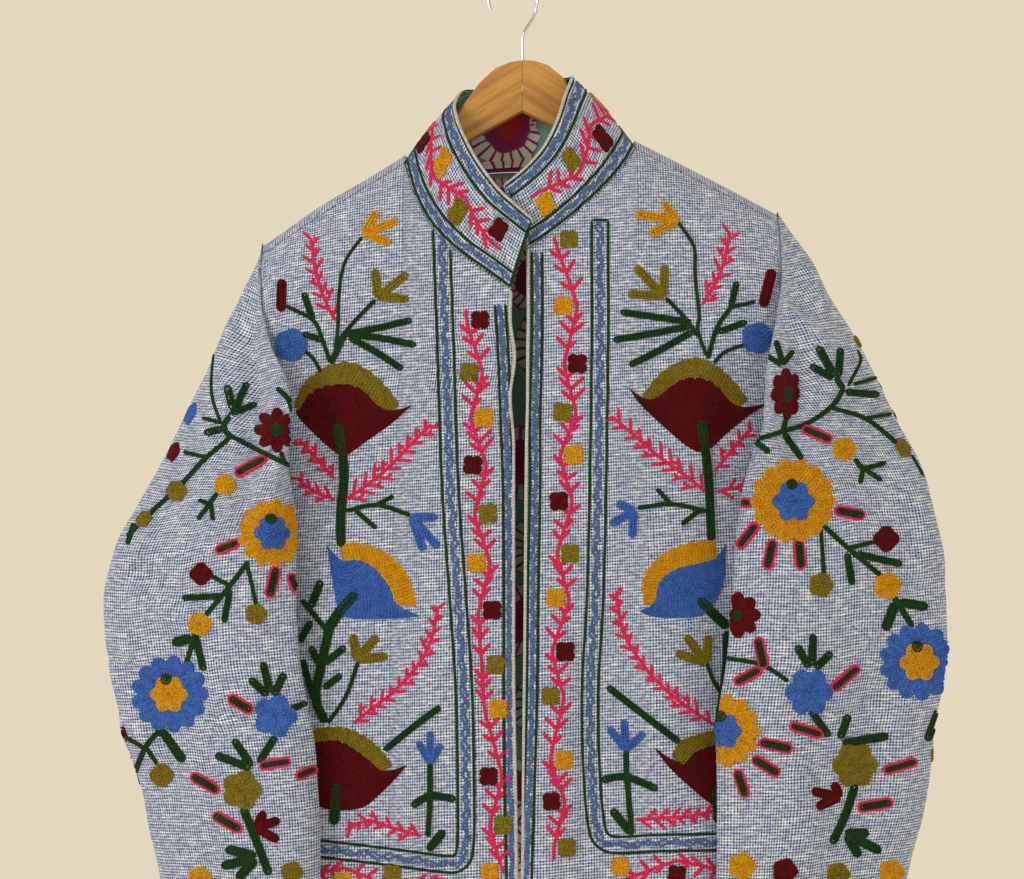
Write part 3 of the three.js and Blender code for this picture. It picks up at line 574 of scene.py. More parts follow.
LEFT_SLEEVE_RODS = [
    (1.5, [(221, 424), (212, 392), (215, 346)]),
    (4.0, [(227, 386), (233, 410)]),
    (3.6, [(247, 383), (234, 411)]),
    (3.3, [(256, 404), (233, 413)]),
    (3.0, [(233, 412), (224, 427), (231, 437)]),
    (3.8, [(205, 433), (222, 429)]),
    (1.9, [(203, 418), (222, 423)]),
    (2.4, [(231, 436), (264, 453), (297, 469)]),
    (2.3, [(231, 437), (206, 458), (182, 484), (152, 512), (128, 536)]),
    (2.0, [(184, 452), (205, 457)]),
    (2.4, [(134, 524), (128, 544)]),
    (2.4, [(277, 388), (288, 399), (292, 412)]),
    (2.2, [(281, 452), (284, 462)]),
    (5.6, [(266, 458), (236, 474)], "pink/green"),
    (2.2, [(217, 493), (208, 506), (198, 519)]),
    (2.2, [(199, 500), (209, 504)]),
    (2.2, [(211, 503), (213, 520)]),
    (5.4, [(216, 551), (240, 542)], "pink/green"),
    (5.8, [(276, 567), (269, 597)], "pink/green"),
    (5.4, [(290, 574), (297, 592)], "pink/green"),
    (2.4, [(248, 562), (229, 587), (206, 615)]),
    (1.9, [(247, 564), (252, 585), (256, 606)]),
    (2.2, [(211, 576), (229, 585)]),
    (3.2, [(183, 598), (222, 596)]),
    (3.2, [(224, 622), (230, 590)]),
    (5.0, [(173, 643), (192, 638)]),
    (2.4, [(195, 635), (186, 665)]),
    (3.6, [(195, 634), (204, 670)]),
    (2.6, [(160, 730), (145, 748), (133, 780)]),
    (4.0, [(121, 727), (126, 741)], "wine"),
    (2.0, [(128, 738), (145, 748)]),
    (4.6, [(162, 731), (184, 761)]),
    (2.0, [(147, 748), (157, 763)]),
    (2.2, [(128, 760), (136, 790)]),
    (4.0, [(263, 663), (270, 692)]),
    (4.0, [(250, 679), (267, 695)]),
    (4.0, [(284, 674), (274, 695)]),
    (5.8, [(229, 697), (252, 711)], "pink/green"),
    (3.2, [(306, 703), (289, 710)]),
    (3.8, [(275, 737), (259, 762)]),
    (4.0, [(234, 740), (251, 765)]),
    (4.0, [(216, 755), (250, 768)]),
    (5.2, [(290, 761), (260, 766)], "pink/green"),
    (5.2, [(316, 768), (296, 777)], "pink/green"),
    (5.8, [(192, 775), (219, 791)], "pink/green"),
    (4.2, [(243, 808), (256, 840), (269, 874)]),
    (5.8, [(214, 814), (241, 830)], "pink/green"),
    (4.8, [(255, 856), (227, 849)]),
    (4.8, [(254, 858), (223, 866)]),
    (4.8, [(255, 860), (238, 878)]),
]
LEFT_SLEEVE_TULIPS = [("wine", 4.6, (256, 828), [(264, 812), (279, 820), (278, 840)])]
RIGHT_SLEEVE_FLOWERS = [
    ("olive", 7, 4, 0.2, (857, 342)),
    ("blue", 8, 4, 0.2, (884, 387)),
    ("wine", 8, 4, 0.2, (898, 416)),
    ("olive", 11, 6, 0.25, (903, 448)),
    ([("wine", 0.28), ("green", 0)], 26, 8, 0.34, (787, 394)),
    ("gold", 12, 5, 0.22, (844, 449)),
    ([("gold", 0.52), ("blue", 0.17), ("green", 0)], 42, 14, 0.12, (793, 501)),
    ("olive", 12.5, 5, 0.16, (821, 585)),
    ("wine", 13, 4, 0.26, (886, 539)),
    ("gold", 14, 5, 0.2, (887, 586)),
    ([("blue", 0.52), ("gold", 0.12), ("green", 0)], 39, 13, 0.2, (918, 662)),
    ([("wine", 0.2), ("green", 0)], 23, 8, 0.34, (738, 615)),
    ("blue", 24, 6, 0.28, (809, 692)),
    ([("gold", 0.5), ("blue", 0.15), ("green", 0)], 37, 13, 0.2, (724, 731)),
    ("olive", 23, 6, 0.22, (855, 765)),
]
RIGHT_SLEEVE_RODS = [
    (1.6, [(857, 350), (860, 362), (848, 386)]),
    (4.0, [(818, 347), (834, 376)]),
    (3.7, [(840, 349), (838, 376)]),
    (3.7, [(811, 366), (832, 378)]),
    (3.0, [(836, 378), (843, 389)]),
    (2.4, [(843, 389), (832, 406), (808, 423), (781, 432), (755, 440)]),
    (3.6, [(878, 395), (846, 392)]),
    (1.9, [(876, 378), (854, 384)]),
    (2.1, [(832, 408), (866, 419), (896, 443)]),
    (1.9, [(866, 418), (891, 414)]),
    (1.7, [(911, 455), (923, 476)]),
    (2.8, [(776, 341), (782, 363)]),
    (2.6, [(793, 351), (783, 364)]),
    (2.6, [(766, 355), (781, 365)]),
    (2.4, [(785, 420), (782, 433)]),
    (3.2, [(784, 434), (802, 459)]),
    (3.0, [(755, 441), (769, 452)]),
    (5.6, [(803, 428), (831, 440)], "pink/green"),
    (2.4, [(855, 459), (863, 468), (885, 463)]),
    (2.4, [(863, 468), (860, 483)]),
    (2.4, [(866, 470), (881, 480)]),
    (5.8, [(835, 510), (864, 516)], "pink/green"),
    (5.6, [(739, 547), (757, 524)], "pink/green"),
    (5.8, [(767, 569), (773, 540)], "pink/green"),
    (5.8, [(801, 569), (798, 540)], "pink/green"),
    (5.2, [(740, 501), (752, 504)], "pink/green"),
    (1.9, [(821, 530), (824, 576)]),
    (2.5, [(824, 526), (848, 548), (880, 575)]),
    (2.3, [(850, 548), (873, 542)]),
    (3.6, [(857, 554), (901, 564)]),
    (3.6, [(847, 554), (852, 584)]),
    (3.0, [(894, 597), (912, 626)]),
    (5.0, [(885, 630), (895, 603)]),
    (4.6, [(927, 607), (900, 602)]),
    (2.2, [(727, 658), (762, 665), (788, 681)]),
    (5.8, [(758, 638), (765, 668)], "pink/green"),
    (5.6, [(735, 683), (761, 669)], "pink/green"),
    (4.0, [(813, 635), (812, 665)]),
    (4.0, [(797, 646), (809, 667)]),
    (4.0, [(831, 653), (816, 668)]),
    (5.6, [(858, 667), (832, 689)], "pink/green"),
    (3.9, [(811, 711), (829, 736)]),
    (5.4, [(790, 725), (822, 735)], "pink/green"),
    (4.0, [(848, 715), (840, 738)]),
    (4.4, [(888, 736), (843, 743)]),
    (5.8, [(760, 742), (792, 749)], "pink/green"),
    (5.8, [(753, 758), (779, 774)], "pink/green"),
    (5.8, [(737, 770), (746, 797)], "pink/green"),
    (4.2, [(938, 710), (927, 740)]),
    (4.0, [(934, 748), (934, 766)], "olive"),
    (5.4, [(916, 761), (884, 771)], "pink/green"),
    (5.8, [(892, 802), (858, 808)], "pink/green"),
    (4.2, [(855, 785), (845, 815), (832, 843)]),
    (4.8, [(846, 833), (868, 833)]),
    (4.8, [(847, 834), (880, 851)]),
    (4.8, [(847, 836), (859, 856)]),
]
RIGHT_SLEEVE_TULIPS = [("wine", 4.8, (839, 797), [(834, 783), (812, 791), (817, 807)])]
SLEEVE_MOTIFS = {
    "left": (LEFT_SLEEVE_RODS, LEFT_SLEEVE_TULIPS, LEFT_SLEEVE_FLOWERS),
    "right": (RIGHT_SLEEVE_RODS, RIGHT_SLEEVE_TULIPS, RIGHT_SLEEVE_FLOWERS),
}

# Row of flowers round each cuff: colour, radius, centre
CUFF_FLOWERS = {
    "left": [("gold", 12, (200, 878)), ("wine", 11, (236, 893)), ("olive", 11, (292, 872))],
    "right": [
        ("gold", 14, (742, 866)),
        ("wine", 13, (785, 871)),
        ("olive", 12, (838, 874)),
        ("gold", 13, (891, 872)),
    ],
}

# Paths of the edgings, from the top down; the outer ones turn out along the hem
OUTER_BANDS = {
    "left": [
        (441, 226), (445, 332), (450, 483), (458, 600), (464, 693), (466, 800), (465, 848), (459, 862),
        (444, 864), (390, 857), (322, 849), (280, 845), (236, 842),
    ],
    "right": [
        (600, 220), (600, 332), (598, 483), (595, 600), (590, 693), (592, 780), (597, 828), (604, 841),
        (618, 845), (660, 843), (714, 842), (790, 838),
    ],
}
EDGE_BANDS = {
    "left": [
        (500, 304), (503, 350), (505, 400), (508, 483), (509, 600), (509, 693), (510, 800), (511, 905),
    ],
    "right": [
        (537, 252), (537, 332), (535, 420), (535, 483), (533, 600), (532, 693), (529, 800), (527, 900),
    ],
}

# Vines: points along the path; colour and place of each flower
FRONT_VINES = {
    "left": (
        [
            (474, 290), (474, 332), (480, 483), (485, 600), (491, 693), (496, 800), (496, 872),
        ],
        [
            ("wine", 478, 320), ("olive", 467, 372), ("gold", 478, 418), ("wine", 471, 465),
            ("olive", 490, 513), ("gold", 479, 563), ("wine", 495, 610), ("olive", 490, 666),
            ("gold", 503, 709), ("wine", 491, 776), ("olive", 501, 825), ("gold", 489, 873),
        ],
    ),
    "right": (
        [
            (562, 236), (571, 332), (566, 483), (562, 600), (557, 693), (558, 800), (562, 870),
        ],
        [
            ("olive", 563, 240), ("gold", 568, 306), ("wine", 578, 364), ("olive", 567, 412),
            ("gold", 580, 455), ("wine", 560, 501), ("olive", 570, 554), ("gold", 555, 598),
            ("wine", 561, 651), ("olive", 547, 696), ("gold", 560, 760), ("wine", 550, 801),
            ("olive", 570, 847),
        ],
    ),
}
HEM_VINES = {
    "left": (
        [
            (470, 890), (430, 885), (390, 880), (322, 873), (280, 870), (240, 868),
        ],
        [
            ("wine", 440, 892), ("olive", 392, 874), ("gold", 343, 880), ("wine", 296, 866),
            ("olive", 250, 874),
        ],
    ),
    "right": (
        [
            (585, 876), (620, 873), (677, 868), (730, 865), (790, 862),
        ],
        [
            ("gold", 620, 868), ("wine", 677, 872), ("olive", 728, 858), ("gold", 778, 870),
        ],
    ),
}

# The back's middle, between the fronts' motifs
BACK_FLOWERS = [
    ([("gold", 0.52), ("blue", 0.17), ("green", 0)], 44, 14, 0.12, (512, 300)),
    ([("blue", 0.52), ("gold", 0.15), ("green", 0)], 44, 13, 0.2, (512, 500)),
    ([("wine", 0.5), ("gold", 0.15), ("green", 0)], 44, 8, 0.25, (512, 690)),
]
BACK_RODS = [
    (3.0, [(512, 346), (508, 400), (512, 455)]),
    (3.0, [(512, 546), (516, 600), (512, 645)]),
    (3.0, [(512, 735), (508, 770), (512, 795)]),
    (5.8, [(505, 380), (476, 362)], "pink/green"),
    (5.8, [(518, 390), (548, 372)], "pink/green"),
    (5.8, [(505, 420), (474, 408)], "pink/green"),
    (5.8, [(516, 430), (548, 416)], "pink/green"),
    (5.8, [(508, 585), (478, 566)], "pink/green"),
    (5.8, [(520, 595), (550, 576)], "pink/green"),
    (5.8, [(508, 624), (478, 612)], "pink/green"),
    (5.8, [(520, 630), (550, 618)], "pink/green"),
    (4.6, [(508, 780), (480, 762)]),
    (4.6, [(514, 776), (544, 758)]),
]
BACK_CORALS = [
    (9, [(470, 470), (452, 430), (440, 380)]),
    (9, [(556, 470), (572, 430), (584, 380)]),
    (9, [(466, 680), (450, 640), (440, 600)]),
    (9, [(560, 680), (576, 640), (586, 600)]),
]


def curve(rows, column=1):
    """A smooth function through one column of a table, without overshoot."""
    table = rows[np.argsort(rows[:, 0])].astype(float)
    xs = table[:, 0]
    ys = table[:, column]
    steps = np.diff(ys) / np.diff(xs)
    slopes = np.zeros(len(xs))
    slopes[0] = steps[0]
    slopes[-1] = steps[-1]
    same = steps[:-1] * steps[1:] > 0
    total = np.where(same, steps[:-1] + steps[1:], 1)
    slopes[1:-1] = np.where(same, 2 * steps[:-1] * steps[1:] / total, 0)

    def value(at):
        x = np.clip(at, xs[0], xs[-1])
        i = np.clip(np.searchsorted(xs, x, side="right") - 1, 0, len(xs) - 2)
        width = xs[i + 1] - xs[i]
        t = (x - xs[i]) / width
        return hermite(ys[i], ys[i + 1], slopes[i] * width, slopes[i + 1] * width, t)

    return value


def hermite(start, end, leave, arrive, t):
    from_start = 2 * t**3 - 3 * t**2 + 1
    return (
        from_start * start
        + (1 - from_start) * end
        + (t**3 - 2 * t**2 + t) * leave
        + (t**3 - t**2) * arrive
    )


def ease(t):
    return t * t * (3 - 2 * t)


def mix(a, b, t):
    return a + (b - a) * t


def unit(vectors):
    length = np.linalg.norm(vectors, axis=-1, keepdims=True)
    return vectors / np.maximum(length, TINY)


half_width = curve(SIDE_ROWS)
front_edge = {"left": curve(FRONT_EDGE_ROWS, 1), "right": curve(FRONT_EDGE_ROWS, 2)}
neckline = {"left": curve(NECKLINE_ROWS, 1), "right": curve(NECKLINE_ROWS, 2)}
back_top = curve(BACK_TOP_ROWS)
lining_top = curve(LINING_TOP_ROWS)
turn_of = curve(TURN_ROWS)


def ridge(x):
    """Height of the shoulder ridge, which runs on over the neck."""
    away = np.abs(x)
    over_neck = NECK_Z + NECK_RISE * ease(np.clip(1 - away / NECK_X, 0, 1))
    return np.where(away > NECK_X, NECK_Z - SHOULDER_SLOPE * (away - NECK_X), over_neck)


def over_ridge(along):
    """The cloth's drop and share of its depth, `along` mm over the ridge, negative in front."""
    quarter = RIDGE_HEIGHT * math.pi / 2
    far = np.abs(along)
    angle = np.minimum(far, quarter) / RIDGE_HEIGHT
    drop = RIDGE_HEIGHT * (1 - np.cos(angle)) + np.maximum(far - quarter, 0)
    return drop, np.sign(along) * np.sin(angle)


def along_for(drop):
    high = np.arccos(np.clip(1 - drop / RIDGE_HEIGHT, -1, 1)) * RIDGE_HEIGHT
    low = RIDGE_HEIGHT * math.pi / 2 + drop - RIDGE_HEIGHT
    return np.where(drop >= RIDGE_HEIGHT, low, high)


def edge_depth(z):
    """Half depth of the armhole above the underarm, and of the side seam below it."""
    part = (ARMHOLE_MIDDLE_Z - z) / (ARMHOLE_MIDDLE_Z - UNDERARM_Z)
    low = ARMHOLE_DEPTH * np.sqrt(np.clip(1 - part * part, 0, 1))
    return np.where(z >= ARMHOLE_MIDDLE_Z, ARMHOLE_DEPTH, np.maximum(low, SEAM / 2))


def body_depth(x, z, middle):
    share = np.clip(np.abs(x) / half_width(z), 0, 1)
    round_off = (1 - share**PROFILE_POWER) ** (1 / PROFILE_POWER)
    edge = edge_depth(z)
    return edge + (middle - edge) * round_off


def hem_wave(x, z):
    low = np.clip((HEM_Z + HEM_WAVE_RISE - z) / HEM_WAVE_RISE, 0, 1)
    inside = 1 - np.clip(np.abs(x) / half_width(z), 0, 1) ** 4
    return HEM_WAVE * ease(low) * inside * np.sin(2 * math.pi * x / HEM_WAVE_LENGTH + 1)


def lap(x, z):
    across = ease(np.clip(1 - np.abs(x - LAP_X) / LAP_REACH, 0, 1))
    down = ease(np.clip(1 - np.abs(z - LAP_Z) / LAP_REACH, 0, 1))
    return LAP * across * down


def body_points(side, column, along, first, edge):
    """Points of the body's outer surface, for columns named by their distance at the top."""
    drop, depth = over_ridge(along)
    z = ridge(column) - drop
    share = (column - first) / (SHOULDER_X - first)
    start = edge(z) if edge else first
    x = side * mix(start, half_width(z), share)
    in_front = along < 0
    middle = np.where(in_front, FRONT_DEPTH, BACK_DEPTH)
    wave = np.where(in_front, -1, 1) * hem_wave(x, z)
    forward = np.where(in_front & (x < 0), lap(x, z), 0)
    return np.stack([x, body_depth(x, z, middle) * depth + wave - forward, z], -1)


def front_depth_at(x, z):
    along = along_for(np.maximum(ridge(x) - z, 0))
    return body_depth(x, z, FRONT_DEPTH) * over_ridge(along)[1] + HEM_WAVE


def place_x(column):
    return (column - ORIGIN_COLUMN) * PIXEL


def place_z(row):
    return (ORIGIN_ROW - row) * PIXEL


def photo(column, row):
    """A place in the photo as x and z in the jacket's plane."""
    return np.array([place_x(column), place_z(row)])


def crease_height(points, creases):
    """How far the creases lift the cloth at each point, tapering towards their ends."""
    plane = points[..., [0, 2]]
    height = np.zeros(plane.shape[:-1])
    for start, end, width, depth in creases:
        a = photo(*start)
        way = photo(*end) - a
        share = np.clip(((plane - a) @ way) / (way @ way), -CREASE_RUN_ON, 1 + CREASE_RUN_ON)
        off = np.linalg.norm(plane - a - share[..., None] * way, axis=-1)
        bend = 1 + CREASE_WOBBLE * np.sin(5 * share + width)
        along = (share + CREASE_RUN_ON) / (1 + 2 * CREASE_RUN_ON)
        taper = np.clip(np.sin(math.pi * np.clip(along, 0, 1)), 0, 1)
        height += depth * taper * np.exp(-((off / (width * bend)) ** 2))
    return CREASE_STRENGTH * height


def soft_noise(points, scale, strength, seed):
    """Slow uneven swelling of the cloth, the same each time."""
    rng = random.Random(seed)
    height = np.zeros(points.shape[:-1])
    for _ in range(NOISE_WAVES):
        way = np.array([rng.uniform(-1, 1) for _ in range(3)]) / scale
        height += np.sin(points @ way * 2 * math.pi + rng.uniform(0, 6.28))
    return height * strength / NOISE_WAVES


def hang(points):
    """The upright jacket's points as it hangs."""
    out = points.copy()
    out[..., 0] += HANG_OFFSET
    out[..., 2] += LEAN * points[..., 0]
    return out


def grid_normals(grid, turn, around=False):
    down = np.gradient(grid, axis=0)
    if around:
        across = np.roll(grid, -1, 1) - np.roll(grid, 1, 1)
    else:
        across = np.gradient(grid, axis=1)
    return turn * unit(np.cross(down, across))


def arc_lengths(grid, axis):
    steps = np.linalg.norm(np.diff(grid, axis=axis), axis=-1)
    zero = np.zeros_like(np.take(steps, [0], axis))
    return np.cumsum(np.concatenate([zero, steps], axis), axis)


def cloth_uv(grid):
    """Metres across from the first column and metres up from the last row."""
    across = arc_lengths(grid, 1)
    down = arc_lengths(grid, 0)
    middle = across[len(grid) // 2]
    u = np.broadcast_to(middle, across.shape)
    v = down[-1] - down
    return np.stack([u, v], -1) * MM


def grid_faces(rows, columns, around, offset, flip):
    r = np.arange(rows - 1)[:, None]
    last = columns if around else columns - 1
    c = np.arange(last)[None, :]
    n = (c + 1) % columns
    a = r * columns + c
    b = r * columns + n
    d = (r + 1) * columns + c
    e = (r + 1) * columns + n
    order = (a, b, e, d) if flip else (a, d, e, b)
    return np.stack(np.broadcast_arrays(*order), -1).reshape(-1, 4) + offset


def rim_faces(rows, columns, around, inner, flip):
    faces = []
    last = columns if around else columns - 1
    for c in range(last):
        n = (c + 1) % columns
        end = (rows - 1) * columns
        faces.append((c, n, inner + n, inner + c))
        faces.append((end + n, end + c, inner + end + c, inner + end + n))
    if not around:
        for r in range(rows - 1):
            a = r * columns
            b = (r + 1) * columns
            e = columns - 1
            faces.append((b, a, inner + a, inner + b))
            faces.append((a + e, b + e, inner + b + e, inner + a + e))
    faces = np.array(faces)
    return faces[:, ::-1] if flip else faces


def new_object(name, verts, faces, uvs=None):
    """A smooth mesh from millimetre points, with one UV for each vertex."""
    mesh = bpy.data.meshes.new(name)
    verts = np.asarray(verts, dtype=np.float32) * MM
    mesh.from_pydata(verts.tolist(), [], faces.tolist())
    if uvs is not None:
        layer = mesh.uv_layers.new(name="Cloth")
        loops = np.empty(len(mesh.loops), dtype=np.int32)
        mesh.loops.foreach_get("vertex_index", loops)
        layer.uv.foreach_set("vector", np.asarray(uvs, dtype=np.float32)[loops].ravel())
    mesh.polygons.foreach_set("use_smooth", [True] * len(mesh.polygons))
    mesh.update()
    obj = bpy.data.objects.new(name, mesh)
    bpy.context.collection.objects.link(obj)
    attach(obj, "root")
    return obj


def fix_winding(obj):
    mesh = bmesh.new()
    mesh.from_mesh(obj.data)
    if mesh.calc_volume(signed=True) < 0:
        bmesh.ops.reverse_faces(mesh, faces=mesh.faces)
        mesh.to_mesh(obj.data)
    mesh.free()


def shell(name, outer, inner, around, materials):
    """A closed wall of cloth: its outer face and rims take the first material, its inside the second."""
    rows, columns = outer.shape[:2]
    count = rows * columns
    verts = np.concatenate([outer.reshape(-1, 3), inner.reshape(-1, 3)])
    outside = grid_faces(rows, columns, around, 0, False)
    inside = grid_faces(rows, columns, around, count, True)
    rims = rim_faces(rows, columns, around, count, True)
    uv = cloth_uv(outer).reshape(-1, 2)
    obj = new_object(name, verts, np.concatenate([outside, inside, rims]), np.concatenate([uv, uv]))
    fix_winding(obj)
    for material in materials:
        obj.data.materials.append(material)
    index = np.zeros(len(obj.data.polygons), dtype=np.int32)
    index[len(outside) : len(outside) + len(inside)] = 1
    obj.data.polygons.foreach_set("material_index", index)
    return obj


def kept_behind_seam(grid, side):
    """Below the underarm, a panel's points stay on their own side of the side seam."""
    out = grid.copy()
    low = out[..., 2] < UNDERARM_Z
    out[..., 1] = np.where(low, side * np.maximum(side * out[..., 1], SEAM / 2), out[..., 1])
    return out


def fine(stops, step):
    """Values from the first stop to the last, near `step` apart, with every stop among them."""
    parts = []
    for a, b in zip(stops[:-1], stops[1:]):
        count = max(int(round(abs(b - a) / step)), 1)
        parts.append(np.linspace(a, b, count + 1)[:-1])
    return np.concatenate(parts + [[stops[-1]]])


def front_top(side, column):
    seam = ridge(column) - SHOULDER_SEAM_DROP - SEAM
    return np.where(column < NECK_X, np.minimum(neckline[side](column), seam), seam)


def front_grid(side, columns, rows):
    column = columns[None, :]
    share = (np.linspace(0, 1, rows) ** ROW_POWER)[:, None]
    start = along_for(ridge(column) - front_top(side, column))
    end = along_for(ridge(column) - HEM_Z)
    sign = -1 if side == "left" else 1
    column = np.broadcast_to(column, (rows, len(columns)))
    return body_points(sign, column, -mix(start, end, share), FIRST_COLUMN, front_edge[side])


def back_start(column):
    seam = -along_for(np.array(SHOULDER_SEAM_DROP - SEAM))
    return np.where(column < NECK_X, back_top(column), seam)


def back_grid(columns, rows, top_of, hem_step):
    """Columns are signed distances from the middle line."""
    away = np.abs(columns)[None, :]
    share = (np.linspace(0, 1, rows) ** ROW_POWER)[:, None]
    end = along_for(ridge(away) - HEM_Z) - hem_step
    along = mix(top_of(away), end, share)
    away = np.broadcast_to(away, along.shape)
    return body_points(np.sign(columns)[None, :], away, along, 0, None)


def both_sides(columns):
    half = columns[columns > 0]
    return np.concatenate([-half[::-1], [0], half])


def collar_base(at):
    """Points of the seam line that the collar stands on, for places along it from 0 to 22."""
    neck = len(COLLAR_COLUMNS)
    behind = both_sides(COLLAR_BACK_COLUMNS[::-1])
    last = 2 * neck + len(behind) - 1
    left = front_grid("left", np.interp(at, np.arange(neck), COLLAR_COLUMNS), 2)[0]
    right_at = np.interp(last - at, np.arange(neck), COLLAR_COLUMNS)
    right = front_grid("right", right_at, 2)[0]
    back_at = np.interp(at, neck + np.arange(len(behind)), behind)
    back = back_grid(back_at, 2, back_start, 0)[0]
    to_back = np.clip(at - (neck - 1), 0, 1)[:, None]
    to_right = np.clip(at - (last - neck), 0, 1)[:, None]
    return mix(mix(left, back, to_back), right, to_right)


def collar_grid(at, rows):
    base = collar_base(at)
    top = np.stack([curve(COLLAR_TOP_ROWS, axis)(at) for axis in (1, 2, 3)], -1)
    height = np.linalg.norm(top - base, axis=-1)
    outward = base * np.array([1, 1, 0])
    outward /= np.linalg.norm(outward, axis=-1, keepdims=True)
    share = mix(COLLAR_SEAM / height, 1, np.linspace(0, 1, rows)[:, None])[..., None]
    bulge = COLLAR_BULGE * np.sin(math.pi * share)
    return mix(base, top, share) + bulge * outward


def sleeve_edges(sleeve, z):
    rows = sleeve["rows"]
    return curve(rows, 1)(z), curve(rows, 2)(z)


def sleeve_points(sleeve, degrees, z):
    """Section of the hanging sleeve at a height, clear of the body's front."""
    outer, inner = sleeve_edges(sleeve, z)
    half = (outer - inner) / 2
    angle = np.radians(degrees)
    out = inner + half + half * np.cos(angle)
    down = np.clip((sleeve["top"] - z) / (sleeve["top"] - sleeve["cuff"]), 0, 1)
    depth = mix(SLEEVE_HALF_DEPTH, CUFF_HALF_DEPTH, down)
    middle = SLEEVE_OUTER_Y - SLEEVE_TILT * (outer - out)
    behind = middle + depth * np.abs(np.sin(angle))
    needed = np.where(out < half_width(z), front_depth_at(out, z) + SLEEVE_CLEAR, 0)
    push = np.maximum(needed + behind, 0)
    return np.stack([out, middle - depth * np.sin(angle) - push, z], -1)


def armhole_points(degrees, inset):
    angle = np.radians(degrees)
    z = ARMHOLE_MIDDLE_Z + (RIDGE_HEIGHT - inset) * np.cos(angle)
    y = -(ARMHOLE_DEPTH - inset) * np.sin(angle)
    return np.stack([half_width(z) + ARMHOLE_SEAM, y, z], -1)


def cap_points(sleeve, armhole, t):
    turn = turn_of(armhole)
    z = np.full_like(armhole, sleeve["top"])
    start = armhole_points(armhole, 0)
    end = sleeve_points(sleeve, turn, z)
    arrive = (sleeve_points(sleeve, turn, z - 1) - end) * CAP_REACH
    shoulder = curve(CAP_ROWS, 1)(armhole)
    fold = curve(CAP_ROWS, 2)(armhole)
    leave_x = sleeve["shoulder"] * shoulder + sleeve["fold"] * fold
    leave = np.stack([leave_x, curve(CAP_ROWS, 3)(armhole), curve(CAP_ROWS, 4)(armhole)], -1)
    return hermite(start, end, leave, arrive, t)


def sleeve_grid(sleeve, around, cap_rows, rows):
    armhole = np.arange(around) * 360.0 / around
    cap = [cap_points(sleeve, armhole, t) for t in np.linspace(0, 1, cap_rows + 1)[:-1]]
    heights = np.linspace(sleeve["top"], sleeve["cuff"], rows)
    low = [sleeve_points(sleeve, turn_of(armhole), np.full(around, z)) for z in heights]
    return np.stack(cap + low), armhole


class Nodes:
    """Short ways to build a material's nodes."""

    def __init__(self, name):
        self.material = bpy.data.materials.new(name)
        self.material.use_nodes = True
        self.tree = self.material.node_tree
        self.shader = self.tree.nodes["Principled BSDF"]

    def add(self, kind, settings=None, **inputs):
        node = self.tree.nodes.new(kind)
        for key, value in (settings or {}).items():
            setattr(node, key, value)
        for key, value in inputs.items():
            self.feed(node.inputs[key.replace("_", " ")], value)
        return node

    def feed(self, socket, value):
        if isinstance(value, bpy.types.NodeSocket):
            self.tree.links.new(value, socket)
        elif isinstance(value, tuple) and len(value) == 3 and socket.type == "RGBA":
            socket.default_value = (*value, 1)
        else:
            socket.default_value = value

    def math(self, operation, *values, clamp=False):
        node = self.add("ShaderNodeMath", {"operation": operation, "use_clamp": clamp})
        for socket, value in zip(node.inputs, values):
            self.feed(socket, value)
        return node.outputs[0]

    def times(self, a, b):
        return self.math("MULTIPLY", a, b)

    def plus(self, a, b):
        return self.math("ADD", a, b)

    def minus(self, a, b):
        return self.math("SUBTRACT", a, b)

    def off_middle(self, value):
        """How far a value lies from the middle of its whole step: 0 to 0.5."""
        return self.math("ABSOLUTE", self.minus(self.math("FRACT", value), 0.5))

    def mix(self, share, a, b):
        node = self.add("ShaderNodeMix", {"data_type": "RGBA"}, Factor=share)
        self.feed(node.inputs[6], a)
        self.feed(node.inputs[7], b)
        return node.outputs[2]

    def step(self, value, low, high):
        """0 below one value and 1 above the other, eased between."""
        node = self.add("ShaderNodeMapRange", {"interpolation_type": "SMOOTHSTEP"}, Value=value)
        self.feed(node.inputs["From Min"], low)
        self.feed(node.inputs["From Max"], high)
        return node.outputs["Result"]

    def noise(self, vector, scale, detail=2.0):
        return self.add("ShaderNodeTexNoise", Vector=vector, Scale=scale, Detail=detail).outputs["Fac"]

    def stretched(self, vector, x, y, z=1.0):
        return self.add("ShaderNodeMapping", Vector=vector, Scale=(x, y, z)).outputs["Vector"]

    def uv(self):
        return self.add("ShaderNodeUVMap", {"uv_map": "Cloth"}).outputs["UV"]

    def place(self):
        return self.add("ShaderNodeTexCoord").outputs["Object"]

    def parts(self, vector):
        return self.add("ShaderNodeSeparateXYZ", Vector=vector).outputs

    def finish(self, color, roughness, height=None, distance=0.001, strength=1.0, sheen=0.0, gloss=0.5):
        self.feed(self.shader.inputs["Base Color"], color)
        self.feed(self.shader.inputs["Roughness"], roughness)
        self.shader.inputs["Sheen Weight"].default_value = sheen
        self.shader.inputs["Specular IOR Level"].default_value = gloss
        if height is not None:
            bump = self.add("ShaderNodeBump", Strength=strength, Distance=distance, Height=height)
            self.feed(self.shader.inputs["Normal"], bump.outputs["Normal"])
        return self.material


